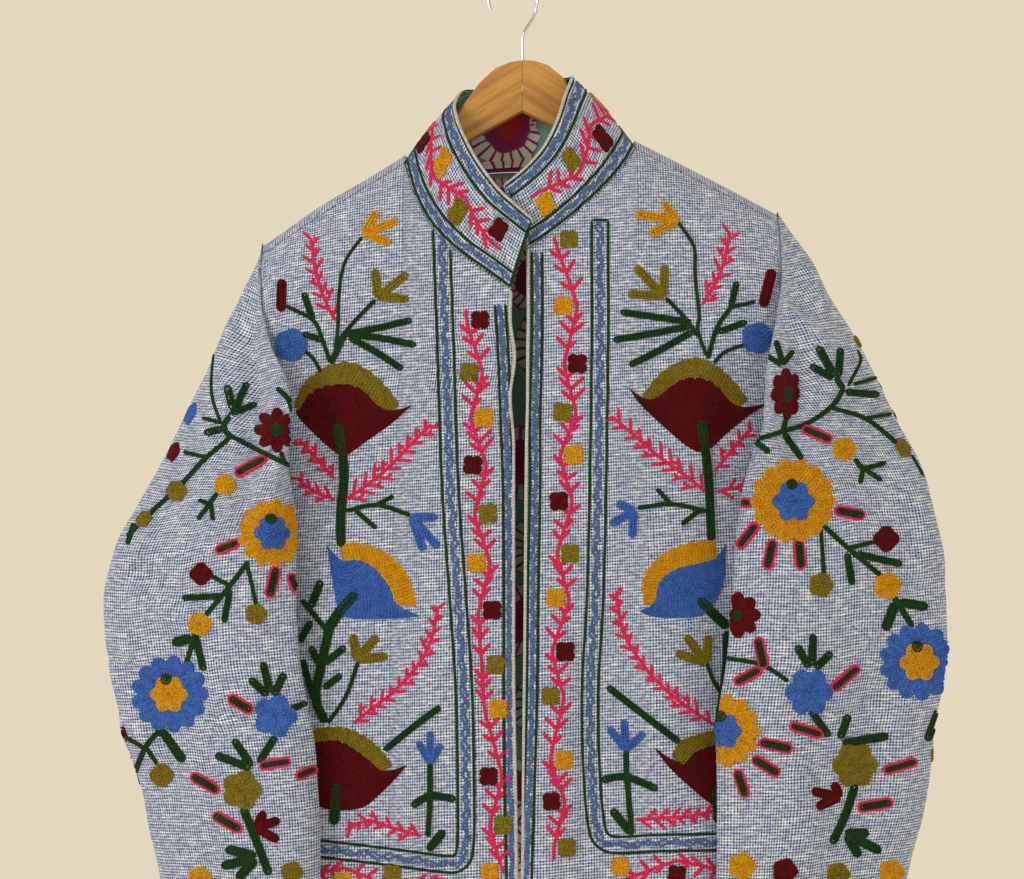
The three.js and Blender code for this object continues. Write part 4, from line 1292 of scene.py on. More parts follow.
def hopsack():
    """Coarse basket weave: pale blue and white weft over a blue warp, with slubs, and painted shade in its
    holes and in the gaps between weft threads.
    """
    n = Nodes("hopsack")
    uv = n.uv()
    u, v, _ = n.parts(uv)
    from_warp = n.off_middle(n.math("DIVIDE", u, THREAD))
    from_weft = n.off_middle(n.math("DIVIDE", v, THREAD))
    # Painted shade in the holes, and below at half strength in the gaps between weft threads
    hole = n.times(n.step(from_warp, *HOLE_BY_WARP), n.step(from_weft, *HOLE_BY_WEFT))
    streak = n.noise(n.stretched(uv, *STREAK_SCALE), 1.0, 3.0)
    slub = n.noise(n.stretched(uv, *SLUB_SCALE), 1.0)
    warp_streak = n.noise(n.stretched(uv, *WARP_SCALE), 1.0)
    ground = n.mix(n.step(streak, *STREAK_RANGE), WEFT_BLUE, WEFT_PALE)
    ground = n.mix(n.times(n.step(slub, *SLUB_RANGE), 0.9), ground, WEFT_WHITE)
    over = n.times(n.step(from_warp, *WARP_RANGE), n.step(warp_streak, *WARP_STREAK_RANGE))
    ground = n.mix(n.times(over, 0.75), ground, WARP_BLUE)
    hole = n.math("MAXIMUM", hole, n.times(n.step(from_weft, *WEFT_GAP_RANGE), 0.5))
    uneven = n.noise(n.stretched(uv, *UNEVEN_SCALE), 1.0)
    # Strength of the painted shade in the holes and gaps, uneven at random
    depth = n.times(hole, n.plus(0.5, n.times(n.step(uneven, *UNEVEN_RANGE), 0.5)))
    color = n.mix(depth, ground, HOLE_SHADE)
    warp_high = n.minus(1.0, n.times(from_warp, 2.0))
    weft_high = n.minus(1.0, n.times(from_weft, 2.0))
    height = n.plus(n.times(warp_high, 0.4), n.times(weft_high, 0.7))
    height = n.plus(height, n.times(slub, 0.9))
    return n.finish(color, 0.92, height, 0.0006, 0.7, 0.08, CLOTH_GLOSS)


def thread(name, color, dark):
    """Woolly chain stitch: a herringbone along the row with painted shade between its links, and a soft
    uneven colour.
    """
    n = Nodes(f"thread_{name}")
    u, v, _ = n.parts(n.uv())
    off = n.math("ABSOLUTE", n.minus(v, 0.5))
    link = n.off_middle(n.plus(n.math("DIVIDE", u, CHAIN_LENGTH), n.times(off, 0.9)))
    place = n.place()
    fuzz = n.noise(place, 950.0, 3.0)
    tone = n.noise(place, 190.0, 3.0)
    # Painted shade between the chain's links, plus random fuzz and slow tone, mixes towards the darker tone
    shade_and_tone = n.times(n.step(link, *LINK_RANGE), 0.55)
    shade_and_tone = n.plus(shade_and_tone, n.times(n.step(fuzz, *FUZZ_RANGE), 0.55))
    shade_and_tone = n.math("ADD", shade_and_tone, n.times(n.step(tone, *TONE_RANGE), 0.25), clamp=True)
    height = n.minus(n.times(fuzz, 0.8), n.times(link, 1.4))
    return n.finish(n.mix(shade_and_tone, color, dark), 0.88, height, 0.0008, 1.0, 0.02, THREAD_GLOSS)


def print_cells(n, uv):
    """Cells of the print, one to a flower, on gently bent places; gives both."""
    bend = n.add("ShaderNodeTexNoise", Vector=uv, Scale=9.0, Detail=2.0)
    shift = n.add("ShaderNodeVectorMath", {"operation": "MULTIPLY_ADD"})
    for socket, value in zip(shift.inputs, (bend.outputs["Color"], PRINT_BEND, uv)):
        n.feed(socket, value)
    place = shift.outputs["Vector"]
    kind = {"feature": "F1", "voronoi_dimensions": "2D"}
    cells = n.add("ShaderNodeTexVoronoi", kind, Vector=place, Scale=PRINT_CELLS, Randomness=0.6)
    return cells.outputs, place


def print_rays(n, cells, place, edge):
    """The pale rays round each flower of the print."""
    apart = n.add("ShaderNodeVectorMath", {"operation": "SUBTRACT"})
    n.feed(apart.inputs[0], place)
    n.feed(apart.inputs[1], cells["Position"])
    aside, above, _ = n.parts(apart.outputs["Vector"])
    rays = n.math("FRACT", n.times(n.math("ARCTAN2", above, aside), PRINT_RAYS))
    ring = n.times(n.step(edge, *PRINT_RING_FROM), n.minus(1.0, n.step(edge, *PRINT_RING_TO)))
    return n.times(ring, n.step(rays, *PRINT_RAY_RANGE))


def printed_lining():
    """Plain cotton lining with a free print of large soft flowers on teal."""
    n = Nodes("printed_lining")
    uv = n.uv()
    cells, place = print_cells(n, uv)
    pick = n.parts(cells["Color"])[0]
    lobes = n.noise(n.stretched(uv, 60, 60), 1.0, 1.0)
    edge = n.plus(cells["Distance"], n.times(n.minus(lobes, 0.5), 0.16))
    petal = n.mix(n.step(pick, *PRINT_PLUM_FROM), PRINT_MAGENTA, PRINT_PLUM)
    leaf = n.mix(n.step(pick, *PRINT_GREEN_FROM), petal, PRINT_GREEN)
    color = n.mix(n.step(edge, *PRINT_PETAL_END), leaf, PRINT_TEAL)
    heart = n.mix(n.step(edge, *PRINT_HEART), PRINT_RED, color)
    color = n.mix(print_rays(n, cells, place, edge), heart, PRINT_WHITE)
    weave = n.noise(n.stretched(uv, 1600, 1600), 1.0, 1.0)
    return n.finish(color, 0.8, weave, 0.0002, 0.4)


def varnished_wood(name, slope):
    """Pale varnished wood with its grain along the sloping arm."""
    n = Nodes(name)
    turn = n.add("ShaderNodeMapping", Vector=n.place(), Rotation=(0.0, slope, 0.0)).outputs["Vector"]
    grain = n.noise(n.stretched(turn, *GRAIN_SCALE), 1.0, 5.0)
    pores = n.noise(n.stretched(turn, *PORE_SCALE), 1.0, 3.0)
    color = n.mix(n.step(grain, *GRAIN_RANGE), WOOD_PALE, WOOD_DARK)
    color = n.mix(n.times(n.step(pores, *PORE_RANGE), 0.5), color, WOOD_PORE)
    n.shader.inputs["Coat Weight"].default_value = 0.35
    n.shader.inputs["Coat Roughness"].default_value = 0.22
    return n.finish(color, 0.42, pores, 0.0002, 0.25)


def steel_wire():
    n = Nodes("steel_wire")
    n.shader.inputs["Metallic"].default_value = 1.0
    scratches = n.noise(n.stretched(n.place(), *SCRATCH_SCALE), 1.0, 3.0)
    rough = n.plus(0.16, n.times(scratches, 0.14))
    return n.finish(STEEL, rough, scratches, 0.0001, 0.2)


def painted_wall():
    n = Nodes("floor")
    speckle = n.noise(n.place(), 260.0, 3.0)
    return n.finish(n.mix(speckle, *FLOOR_TONES), 0.9, speckle, 0.0004, 0.3)


def cloth_lift(hung, creases, strength):
    """How far the creases and the soft waves move the cloth along its normals."""
    waves = soft_noise(hung, NOISE_SCALE, NOISE_LIFT, CLOTH_SEED)
    return crease_height(hung, creases) * strength + waves


def cloth_piece(name, node, outer, inner, around, materials):
    """A shell that stands for a node of the solid model."""
    obj = shell(name, outer, inner, around, materials)
    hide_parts(node)
    return obj


def finished(node, grid, turn, creases=(), strength=0, seam_side=0):
    """Hangs a grid and lays its creases in: the closed wall, its outer face and that face's normals."""
    hung = hang(grid)
    lift = cloth_lift(hung, creases, strength)
    outer = hung + grid_normals(hung, turn) * lift[..., None]
    normals = grid_normals(outer, turn)
    inner = outer - normals * WALL
    if seam_side:
        inner = kept_behind_seam(inner, seam_side)
    obj = cloth_piece(f"{node}_cloth", node, outer, inner, False, CLOTH_FACES)
    return obj, outer, normals


def fade_at_rims(count, reach):
    """1 in the middle of a run of rows or columns, 0 at both its ends."""
    at = np.arange(count)
    near = np.minimum(at, count - 1 - at)
    return ease(np.clip(near / reach, 0, 1))


def panel_fade(grid):
    """Creases fade out at a panel's rims, so its seams stay in line."""
    rows, columns = grid.shape[:2]
    return fade_at_rims(rows, RIM_ROWS)[:, None] * fade_at_rims(columns, RIM_COLUMNS)[None, :]


def build_front(side):
    grid = front_grid(side, fine(FRONT_STOPS, COLUMN_STEP), PANEL_ROWS)
    turn = -1 if side == "left" else 1
    return finished(f"front_{side}", grid, turn, FRONT_CREASES, panel_fade(grid), -1)


def build_back():
    grid = back_grid(both_sides(fine(BACK_STOPS, COLUMN_STEP)), PANEL_ROWS, back_start, 0)
    return finished("back", grid, -1, BACK_CREASES, panel_fade(grid), 1)


def build_lining():
    """The back's lining, which gives way where the back's creases come in."""
    columns = both_sides(fine(LINING_STOPS, LINING_STEP))
    hung = hang(back_grid(columns, LINING_ROWS, lining_top, LINING_HEM_STEP))
    pushed_in = np.minimum(cloth_lift(hung, BACK_CREASES, 1), 0)
    near = hung + grid_normals(hung, -1) * (pushed_in - WALL - LINING_GAP)[..., None]
    far = near - grid_normals(near, -1) * LINING_WALL
    return cloth_piece("lining_cloth", "lining_back", near, far, False, LINING_FACES)


def collar_places():
    end = int(COLLAR_TOP_ROWS[-1, 0])
    return np.linspace(0, end, end * COLLAR_STEPS + 1)


def build_collar():
    return finished("collar", collar_grid(collar_places(), COLLAR_ROWS), 1)


def build_facing():
    """The printed band inside the collar, a little lower than it."""
    grid = hang(collar_grid(collar_places(), COLLAR_ROWS))
    normals = grid_normals(grid, 1)
    inside = grid - normals * (WALL + SEAM)
    share = np.linspace(FACING_MARGIN, 1 - FACING_MARGIN, COLLAR_ROWS)[:, None, None]
    bulge = COLLAR_BULGE * np.sin(math.pi * share)
    near = mix(inside[:1], inside[-1:], share) + bulge * normals
    far = near - normals * LINING_WALL
    return cloth_piece("collar_facing_cloth", "collar_facing", near, far, False, LINING_FACES)


def show_allowance(obj, rows, columns):
    """The armhole's seam allowance: the first rows inside the sleeve are cloth, not lining."""
    first = (rows - 1) * columns
    for face in obj.data.polygons[first : first + ALLOWANCE_ROWS * columns]:
        face.material_index = 0


def build_sleeve(name):
    sleeve = SLEEVES[name]
    mirror = np.array([sleeve["side"], 1, 1])
    grid, armhole = sleeve_grid(sleeve, SLEEVE_AROUND, CAP_ROWS_FINE, SLEEVE_ROWS)
    hung = hang(grid * mirror)
    turn = -sleeve["side"]
    normals = grid_normals(hung, turn, True)
    facing = np.where(normals[..., 1] > 0.3, SLEEVE_BACK_CREASE, 1.0)
    fade = ease(np.clip(np.arange(len(grid)) / SLEEVE_FADE_ROWS, 0, 1))[:, None] * facing
    outer = hung + normals * (crease_height(hung, SLEEVE_CREASES) * fade)[..., None]
    normals = grid_normals(outer, turn, True)
    inner = outer - normals * WALL
    inner[0] = hang(armhole_points(armhole, WALL) * mirror)
    obj = cloth_piece(f"sleeve_{name}_cloth", f"sleeve_{name}", outer, inner, True, CLOTH_FACES)
    show_allowance(obj, len(outer), SLEEVE_AROUND)
    return obj, outer, normals


class Cloth:
    """A panel's outer face and the rows of stitches laid on it."""

    def __init__(self, name, outer, around, behind=False):
        faces = grid_faces(outer.shape[0], outer.shape[1], around, 0, False)
        self.name = name
        self.tree = BVHTree.FromPolygons(outer.reshape(-1, 3).tolist(), faces.tolist())
        self.behind = behind
        self.parts = []
        self.count = 0
        self.hides = None

    def seen(self, column, row):
        """The place on the cloth that the photo shows at a pixel, or the one behind it."""
        target = np.array([place_x(column), VIEW_PLANE_Y / MM, place_z(row)])
        if self.behind:
            start = np.array([target[0], BEHIND_Y, target[2]])
            way = np.array([0.0, -1.0, 0.0])
        else:
            start = EYE
            way = target - EYE
        return self.facing(self.tree.ray_cast(Vector(start), Vector(way)), way)

    def facing(self, hit, way):
        """A hit's place, and its normal turned against the way it was looked for."""
        if hit[0] is None:
            return None
        place = np.array(hit[0])
        normal = np.array(hit[1])
        if normal @ way > 0:
            normal = -normal
        if self.hides and self.hides(place):
            return None
        return place, normal

    def lay(self, lines, about=None):
        """Lays rows given in photo pixels; those about a centre wrap round the cloth with it."""
        base = self.seen(*about) if about else None
        if about and base is None:
            return
        wraps = about and (self.behind or not self.squarely_seen(*base))
        for line in lines:
            if wraps:
                hits = self.wrapped(line["points"], about, base)
            else:
                hits = [self.seen(x, y) for x, y in line["points"]]
            self.add_runs(hits, line)

    def squarely_seen(self, place, normal):
        """Whether the cloth there faces the photo squarely, or inwards."""
        return abs(normal[1]) > WRAP_BELOW or place[0] * normal[0] < 0

    def wrapped(self, points, about, base):
        place, normal = base
        up = np.array([0.0, 0.0, 1.0])
        up = up - (up @ normal) * normal
        up /= np.linalg.norm(up)
        right = np.cross(up, normal)
        if self.behind:
            right = -right
        found = []
        for x, y in points:
            spot = place + (x - about[0]) * PIXEL * right - (y - about[1]) * PIXEL * up
            found.append(self.facing(self.tree.find_nearest(Vector(spot)), -normal))
        return found

    def add_runs(self, hits, line):
        """Lays a row in as many runs as its gaps leave; a ring with gaps starts at one."""
        widths = np.broadcast_to(line["width"], len(hits))
        gaps = [i for i in range(len(hits)) if parted(hits[i - 1], hits[i])]
        closed = line["closed"] and not gaps
        if line["closed"] and gaps:
            hits = hits[gaps[0] :] + hits[: gaps[0]]
            widths = np.roll(widths, -gaps[0])
        run = []
        kept = []
        for hit, width in zip(hits, widths):
            if hit is None or run and parted(run[-1], hit):
                kept.append((run, False))
                run = []
            if hit is not None:
                run.append((*hit, width))
        kept.append((run, closed))
        for run, whole in kept:
            if len(run) > 2:
                self.add_row(run, line["colour"], line["lift"], whole)

    def add_row(self, run, colour, lift, closed):
        """A raised strip along the places of a run, narrower at its free ends."""
        points, normals, widths = (np.array(part, dtype=float) for part in zip(*run))
        points, normals, widths, along = softened(points, normals, widths, closed)
        normals /= np.linalg.norm(normals, axis=1, keepdims=True)
        side = unit(np.cross(normals, along))
        taper = np.ones(len(points))
        if not closed:
            taper[[0, -1]] = END_TAPER
        across = ROW_PROFILE[:, 0][None, :] * (widths * taper)[:, None]
        tall = ROW_HEIGHT * np.minimum(widths / ROW_WIDTH, 1) ** 0.5 * taper + lift
        up = np.where(ROW_PROFILE[:, 1][None, :] > 0, tall[:, None], -ROW_SINK)
        verts = points[:, None] + side[:, None] * across[..., None] + normals[:, None] * up[..., None]
        faces = row_faces(len(points)) + self.count
        self.parts.append((verts.reshape(-1, 3), row_uv(points), faces, colour))
        self.count += verts.shape[0] * verts.shape[1]

    def make(self):
        """The joined mesh of every row on this cloth."""
        verts, uvs, faces = (np.concatenate([part[i] for part in self.parts]) for i in range(3))
        obj = new_object(f"{self.name}_stitches", verts, faces, uvs)
        names = sorted({part[3] for part in self.parts})
        for name in names:
            obj.data.materials.append(THREADS[name])
        index = [np.full(len(part[2]), names.index(part[3]), dtype=np.int32) for part in self.parts]
        obj.data.polygons.foreach_set("material_index", np.concatenate(index))


def parted(before, after):
    """Whether a row can't run on from one place to the next."""
    if before is None or after is None:
        return True
    return np.linalg.norm(after[0] - before[0]) > LONGEST_STEP


def softened(points, normals, widths, closed):
    """A run with softer normals and the way along it; a closed one ends where it began."""
    if not closed:
        before = np.concatenate([normals[:1], normals[:-1]])
        after = np.concatenate([normals[1:], normals[-1:]])
        return points, normals + (before + after), widths, np.gradient(points, axis=0)
    near = np.roll(normals, 1, 0) + np.roll(normals, -1, 0)
    along = np.roll(points, -1, 0) - np.roll(points, 1, 0)
    return [np.concatenate([v, v[:1]]) for v in (points, normals + near, widths, along)]


def run_length(points):
    """Length along a run at each of its points."""
    steps = np.linalg.norm(np.diff(points, axis=0), axis=1)
    return np.concatenate([[0], np.cumsum(steps)])


def row_uv(points):
    """Metres along a row and the share across it."""
    width = len(ROW_PROFILE)
    u = np.repeat(run_length(points) * MM, width)
    v = np.tile(np.linspace(0, 1, width), len(points))
    return np.stack([u, v], -1)


def row_faces(count):
    width = len(ROW_PROFILE)
    r = np.arange(count - 1)[:, None]
    c = np.arange(width - 1)[None, :]
    a = r * width + c
    b = a + width
    return np.stack([a, b, b + 1, a + 1], -1).reshape(-1, 4)


def line_of(points, colour, width=ROW_WIDTH, closed=False, lift=0.0):
    return dict(points=np.asarray(points, dtype=float), colour=colour, width=width, closed=closed, lift=lift)


def stroke(start, end, width, step=STEP_PX):
    """A straight pink row."""
    return line_of(resampled([start, end], step), "pink", width)


def resampled(points, step, closed=False):
    points = np.asarray(points, dtype=float)
    if closed:
        points = np.concatenate([points, points[:1]])
    length = run_length(points)
    count = max(int(round(length[-1] / step)), 5 if closed else 2)
    at = np.linspace(0, length[-1], count + 1)
    if closed:
        at = at[:-1]
    return along_path(points, length, at)


def along_path(points, length, at):
    """Points of a path where its length or share is as asked."""
    return np.stack([np.interp(at, length, points[:, i]) for i in (0, 1)], -1)


def smooth_path(points, step=STEP_PX):
    """A curve through the points."""
    points = np.asarray(points, dtype=float)
    if len(points) < 3:
        return resampled(points, step)
    padded = np.concatenate([[2 * points[0] - points[1]], points, [2 * points[-1] - points[-2]]])
    dense = []
    for i in range(len(points) - 1):
        a, b, c, d = padded[i : i + 4]
        for t in np.linspace(0, 1, 9)[:-1]:
            dense.append(hermite(b, c, (c - a) / 2, (d - b) / 2, t))
    dense.append(points[-1])
    return resampled(dense, step)


def side_of(path):
    along = unit(np.gradient(path, axis=0))
    return np.stack([-along[:, 1], along[:, 0]], -1)


def shifted(path, distance):
    return path + side_of(path) * np.reshape(distance, (-1, 1))


def stadium(path, radius):
    """The outline at a distance all round a path."""
    side = side_of(path)
    left = path + side * radius
    right = path - side * radius
    turns = np.linspace(0, math.pi, 7)[1:-1]
    first = path[0] + radius * np.array([turned(side[0], t) for t in turns[::-1]])
    last = path[-1] + radius * np.array([turned(side[-1], -t) for t in turns])
    return np.concatenate([left, last, right[::-1], first])


def turned(vector, angle):
    c = math.cos(angle)
    s = math.sin(angle)
    return np.array([c * vector[0] - s * vector[1], s * vector[0] + c * vector[1]])


def rod(half, points, colours="green"):
    """Rows round a path: the outer ones in the first colour, the rest in the last."""
    colours = colours.split("/")
    path = smooth_path(points)
    across = max(int(round(2 * half / PITCH_PX)), 1)
    pitch = 2 * half / across
    width = pitch * PIXEL * ROW_OVERLAP
    if across == 1:
        return [line_of(path, colours[-1], width, lift=ROD_LIFT)]
    keep = resampled(path, 0.5)
    cut = min(int(1.6 * half), len(keep) // 2 - 1)
    path = resampled(keep[cut : len(keep) - cut], STEP_PX)
    lines = []
    for k in range((across + 1) // 2):
        colour = colours[min(k, len(colours) - 1)]
        reach = half - (k + 0.5) * pitch
        if reach < 0.25 * pitch:
            lines.append(line_of(path, colour, width, lift=ROD_LIFT))
            continue
        ring = resampled(stadium(path, reach), min(STEP_PX, max(1.1, 0.8 * reach)), True)
        lines.append(line_of(ring, colour, width, True, ROD_LIFT))
    if across % 2 == 0:
        lines.append(line_of(path, colours[-1], 0.6 * width, lift=ROD_LIFT - ROD_CORE_DROP))
    return lines


def lobed(centre, radius, lobes, depth, turn=0.0):
    count = max(int(2 * math.pi * radius / STEP_PX), 5 * lobes, 8)
    angle = np.linspace(0, 2 * math.pi, count + 1)[:-1]
    reach = radius * (1 - depth + depth * np.abs(np.cos(lobes * angle / 2 + turn)))
    out = np.stack([np.cos(angle), np.sin(angle)], -1) * reach[:, None]
    return np.asarray(centre, dtype=float) + out


def flower(colours, radius, lobes, depth, centre, turn=0.0, lift=FLOWER_LIFT, inner=0.0):
    """Rings of rows from a lobed outline in; a colour alone, or each with the share it reaches in to."""
    if isinstance(colours, str):
        colours = [(colours, 0)]
    lines = []
    reach = radius - PITCH_PX / 2
    while reach > max(0.3 * PITCH_PX, inner):
        colour = next(name for name, share in colours if reach / radius > share)
        ring_depth = depth if reach / radius > 0.45 else depth * 0.7
        ring = lobed(centre, reach, lobes, ring_depth, turn)
        ring = resampled(ring, min(STEP_PX * 0.8, max(1.2, 0.4 * reach)), True)
        lines.append(line_of(ring, colour, ROW_WIDTH * (1 + 0.8 * depth), True, lift))
        reach -= PITCH_PX
    if not inner:
        lines.append(line_of(centre + CENTRE_STITCH, colours[-1][0], ROW_WIDTH * 1.2, lift=lift))
    return lines


def sunflower(colours, radius, lobes, depth, centre):
    """A full ring of petals, a lobed heart over it and a dot at the heart's upper edge."""
    petals, heart, dot = (name for name, _ in colours)
    heart_radius = radius * colours[0][1]
    dot_place = (centre[0] - 0.06 * radius, centre[1] - 0.8 * heart_radius)
    lines = flower(petals, radius, lobes, depth, centre, inner=0.8 * heart_radius)
    lines += flower(heart, heart_radius, HEART_LOBES, HEART_DEPTH, centre, lift=HEART_LIFT)
    lines += flower(dot, DOT_RADIUS, 5, 0.1, dot_place, lift=DOT_LIFT)
    return lines


def tulip(colour, half, base, tips):
    return [line for tip in tips for line in rod(half, [base, tip], colour)]


def coral(twig, points, seed):
    """A pink stem with short twigs to both sides, pointing on, and some of them forked."""
    rng = random.Random(seed)
    path = smooth_path(points, 1.0)
    side = side_of(path)
    lines = [line_of(resampled(path, STEP_PX), "pink", STEM_WIDTH)]
    at = rng.uniform(4, 7)
    hand = 1
    while at < len(path) - 1:
        i = int(at)
        ahead = unit(path[i + 1] - path[i])
        reach = twig * rng.uniform(*TWIG_LENGTHS) * (1 - 0.3 * i / len(path))
        way = ahead * 0.75 + hand * side[i] * rng.uniform(*TWIG_SPREAD)
        lines.append(stroke(path[i], path[i] + way * reach, TWIG_WIDTH))
        if rng.random() < FORKED:
            start = path[i] + way * reach * 0.5
            fork = start + turned(way, -hand * 0.9) * reach * 0.45
            lines.append(stroke(start, fork, FORK_WIDTH, STEP_PX * 0.7))
        hand = -hand
        at += rng.uniform(*TWIG_GAPS)
    return lines


def between(colour, a, b, scallops, lift=0.0):
    """Rows that fill the place between two curves; scallops are the first's bumps, by count and height."""
    first = smooth_path(a, 1.0)
    second = smooth_path(b, 1.0)
    count = max(int(max(len(first), len(second)) / STEP_PX), 4)
    at = np.linspace(0, 1, count + 1)
    first, second = (along_path(c, np.linspace(0, 1, len(c)), at) for c in (first, second))
    bumps, height = scallops
    bulge = height * (np.abs(np.sin(bumps * math.pi * at)) - 0.5)
    first = first - unit(second - first) * bulge[:, None]
    gaps = np.linalg.norm(second - first, axis=1)
    rows = max(int(round(gaps.max() / PITCH_PX)), 1)
    width = np.clip(gaps / rows * PIXEL * 1.2, 0.7, ROW_WIDTH * 1.1)
    shares = [(k + 0.5) / rows for k in range(rows)]
    return [line_of(mix(first, second, share), colour, width, lift=lift) for share in shares]


def band(path, half):
    """An edging: two uneven blue waves that cross, between dark green lines."""
    rng = random.Random(len(path))
    lines = [line_of(shifted(path, reach), "green", LINE_WIDTH) for reach in (half, -half)]
    fine_path = resampled(path, WAVE_STEP)
    along = np.arange(len(fine_path)) * WAVE_STEP
    for phase, reach in WAVES:
        jitter = np.array([rng.uniform(-WAVE_JITTER, WAVE_JITTER) for _ in fine_path])
        wave = half * reach * np.sin(2 * math.pi * along / WAVE_LENGTH + phase) + jitter
        lines.append(line_of(shifted(fine_path, wave), "denim", WAVE_WIDTH, lift=WAVE_LIFT))
    return lines


def vine_stem(dense, side, half, flowers):
    """The stem's shares of the path and its places, which wave away from each flower."""
    at = np.array([share for share, _, _ in flowers])
    off = np.array([-hand * half * STEM_WAVE for _, hand, _ in flowers])
    last = len(dense) - 1
    shares = np.linspace(at[0] - 0.02, at[-1] + 0.02, max(int(last / STEP_PX), 4))
    shares = np.clip(shares, 0, 1)
    offsets = np.interp(shares, at, off)
    reach = max(int(0.25 * len(shares) / len(at)), 1)
    padded = np.pad(offsets, reach, "edge")
    offsets = np.convolve(padded, np.ones(reach) / reach, "same")[reach:-reach]
    index = np.clip((shares * last).astype(int), 0, last)
    return shares, dense[index] + side[index] * offsets[:, None]


def vine_leaf(rng, root, place, ahead, out, half):
    """One leaf from the stem, kept between the edgings."""
    reach = rng.uniform(*LEAF_LENGTHS)
    way = -ahead * rng.uniform(*LEAF_SPREAD) + out * rng.uniform(*LEAF_SPREAD)
    tip = root + way * reach
    off = (tip - place) @ out
    tip = tip + out * (np.clip(off, LEAF_MARGIN - half, half - LEAF_MARGIN) - off)
    return stroke(root, tip, LEAF_WIDTH)


def vine(path, flowers, seed, half=VINE_HALF):
    """A waving pink stem with pairs of leaves; flowers are (share of the path, side, colour)."""
    rng = random.Random(seed)
    dense = smooth_path(path, 1.0)
    side = side_of(dense)
    last = len(dense) - 1
    shares, stem = vine_stem(dense, side, half, flowers)
    lines = [line_of(stem, "pink", STEM_WIDTH)]
    for (share, hand, colour), following in zip(flowers, flowers[1:] + [None]):
        i = int(np.clip(share, 0, 1) * last)
        centre = dense[i] + side[i] * hand * half * VINE_FLOWER_OFF
        radius = rng.uniform(*VINE_FLOWER_RADII)
        turn = rng.uniform(*VINE_FLOWER_TURNS)
        lines += flower(colour, radius, 4, VINE_FLOWER_DEPTH, centre, turn)
        for part in LEAF_PLACES if following else ():
            middle = mix(share, following[0], part)
            j = int(np.clip(middle, 0, 1) * last)
            root = stem[int(np.argmin(np.abs(shares - middle)))]
            ahead = unit(dense[min(j + 1, last)] - dense[max(j - 1, 0)])
            for out in (side[j], -side[j]):
                lines.append(vine_leaf(rng, root, dense[j], ahead, out, half))
    return lines


class CollarCloth(Cloth):
    """The collar's outer face, with places measured along it and up from its seam, in photo pixels."""

    def __init__(self, name, outer, normals):
        super().__init__(name, outer, False)
        self.outer = outer
        self.normals = normals
        self.length = arc_lengths(outer, 1)[len(outer) // 2] / PIXEL

    def seen(self, column, row):
        share = -row / COLLAR_HEIGHT_PX
        if not 0 <= share <= 1 or not 0 <= column <= self.length[-1]:
            return None
        at = np.interp(column, self.length, np.arange(len(self.length)))
        up = share * (len(self.outer) - 1)
        return self.blend(self.outer, up, at), self.blend(self.normals, up, at)

    def blend(self, grid, up, at):
        r = min(int(up), grid.shape[0] - 2)
        c = min(int(at), grid.shape[1] - 2)
        low = mix(grid[r, c], grid[r, c + 1], at - c)
        high = mix(grid[r + 1, c], grid[r + 1, c + 1], at - c)
        return mix(low, high, up - r)


def hem_row(column):
    """The hem's row in the photo's scale, below its lower edge."""
    z = HEM_Z + LEAN * (place_x(column) - HANG_OFFSET)
    return ORIGIN_ROW - z / PIXEL


def vine_through(path, flowers, seed):
    """A vine along a path, with its flowers at their own places: colour, column, row."""
    dense = smooth_path(path, 1.0)
    side = side_of(dense)
    spots = []
    for colour, x, y in flowers:
        spot = np.array([x, y])
        i = int(np.argmin(np.linalg.norm(dense - spot, axis=1)))
        off = (spot - dense[i]) @ side[i]
        spots.append((i / (len(dense) - 1), 1 if off > 0 else -1, colour))
    return vine(path, sorted(spots), seed)


def even_flowers(first, length, colours):
    """Twelve flowers spread evenly along a vine, to each side in turn."""
    return [((k + first) / length, 1 if k % 2 else -1, colours[k % 3]) for k in range(12)]


def moved(points, dx):
    return [(x + dx, y) for x, y in points]


def sew_motifs(cloth, rods, tulips, corals, fans, dx=0, seed=1):
    for number, (twig, points) in enumerate(corals):
        cloth.lay(coral(twig, moved(points, dx), seed + number))
    for (body, rim), *edges in fans:
        outer, inner, lower = (moved(edge, dx) for edge in edges)
        cloth.lay(between(rim, outer, inner, RIM_BUMPS))
        cloth.lay(between(body, inner, lower, BODY_BUMPS, BODY_LIFT))
    for half, points, *colours in rods:
        cloth.lay(rod(half, moved(points, dx), *colours))
    for colour, half, base, tips in tulips:
        cloth.lay(tulip(colour, half, moved([base], dx)[0], moved(tips, dx)))


def sew_flowers(cloth, flowers, wrapped=True):
    for colours, radius, lobes, depth, centre in flowers:
        three = not isinstance(colours, str) and len(colours) == 3
        made = sunflower if three else flower
        cloth.lay(made(colours, radius, lobes, depth, centre), centre if wrapped else None)


def sew_front(side):
    cloth = Cloth(f"front_{side}", FRONTS[side][1], False)
    sew_motifs(cloth, *FRONT_MOTIFS[side], seed=CORAL_SEEDS[side])
    sew_flowers(cloth, FRONT_FLOWERS[side], False)
    cloth.lay(band(smooth_path(OUTER_BANDS[side]), OUTER_BAND_HALF))
    x, y = OUTER_BANDS[side][0]
    cap = [(x - OUTER_BAND_HALF, y), (x + OUTER_BAND_HALF, y)]
    cloth.lay([line_of(resampled(cap, STEP_PX), "green", LINE_WIDTH)])
    out = -1 if side == "left" else 1
    columns = [EDGE_BANDS[side][-1][0] + out * step for step in HEM_STEPS]
    hem = [(column, hem_row(column) - HEM_BAND_RISE) for column in columns]
    cloth.lay(band(smooth_path(EDGE_BANDS[side] + hem), EDGE_BAND_HALF))
    cloth.lay(vine_through(*FRONT_VINES[side], 3))
    cloth.lay(vine_through(*HEM_VINES[side], 8))
    add_edge_roll(cloth, FRONTS[side], slice(None), 0)
    cloth.make()


def add_edge_roll(cloth, made, rows, columns, closed=False):
    """A plain rolled edge along one border of a panel."""
    run = [(p, n, EDGE_ROLL) for p, n in zip(made[1][rows, columns], made[2][rows, columns])]
    cloth.add_row(run, "ecru", EDGE_ROLL_LIFT, closed)


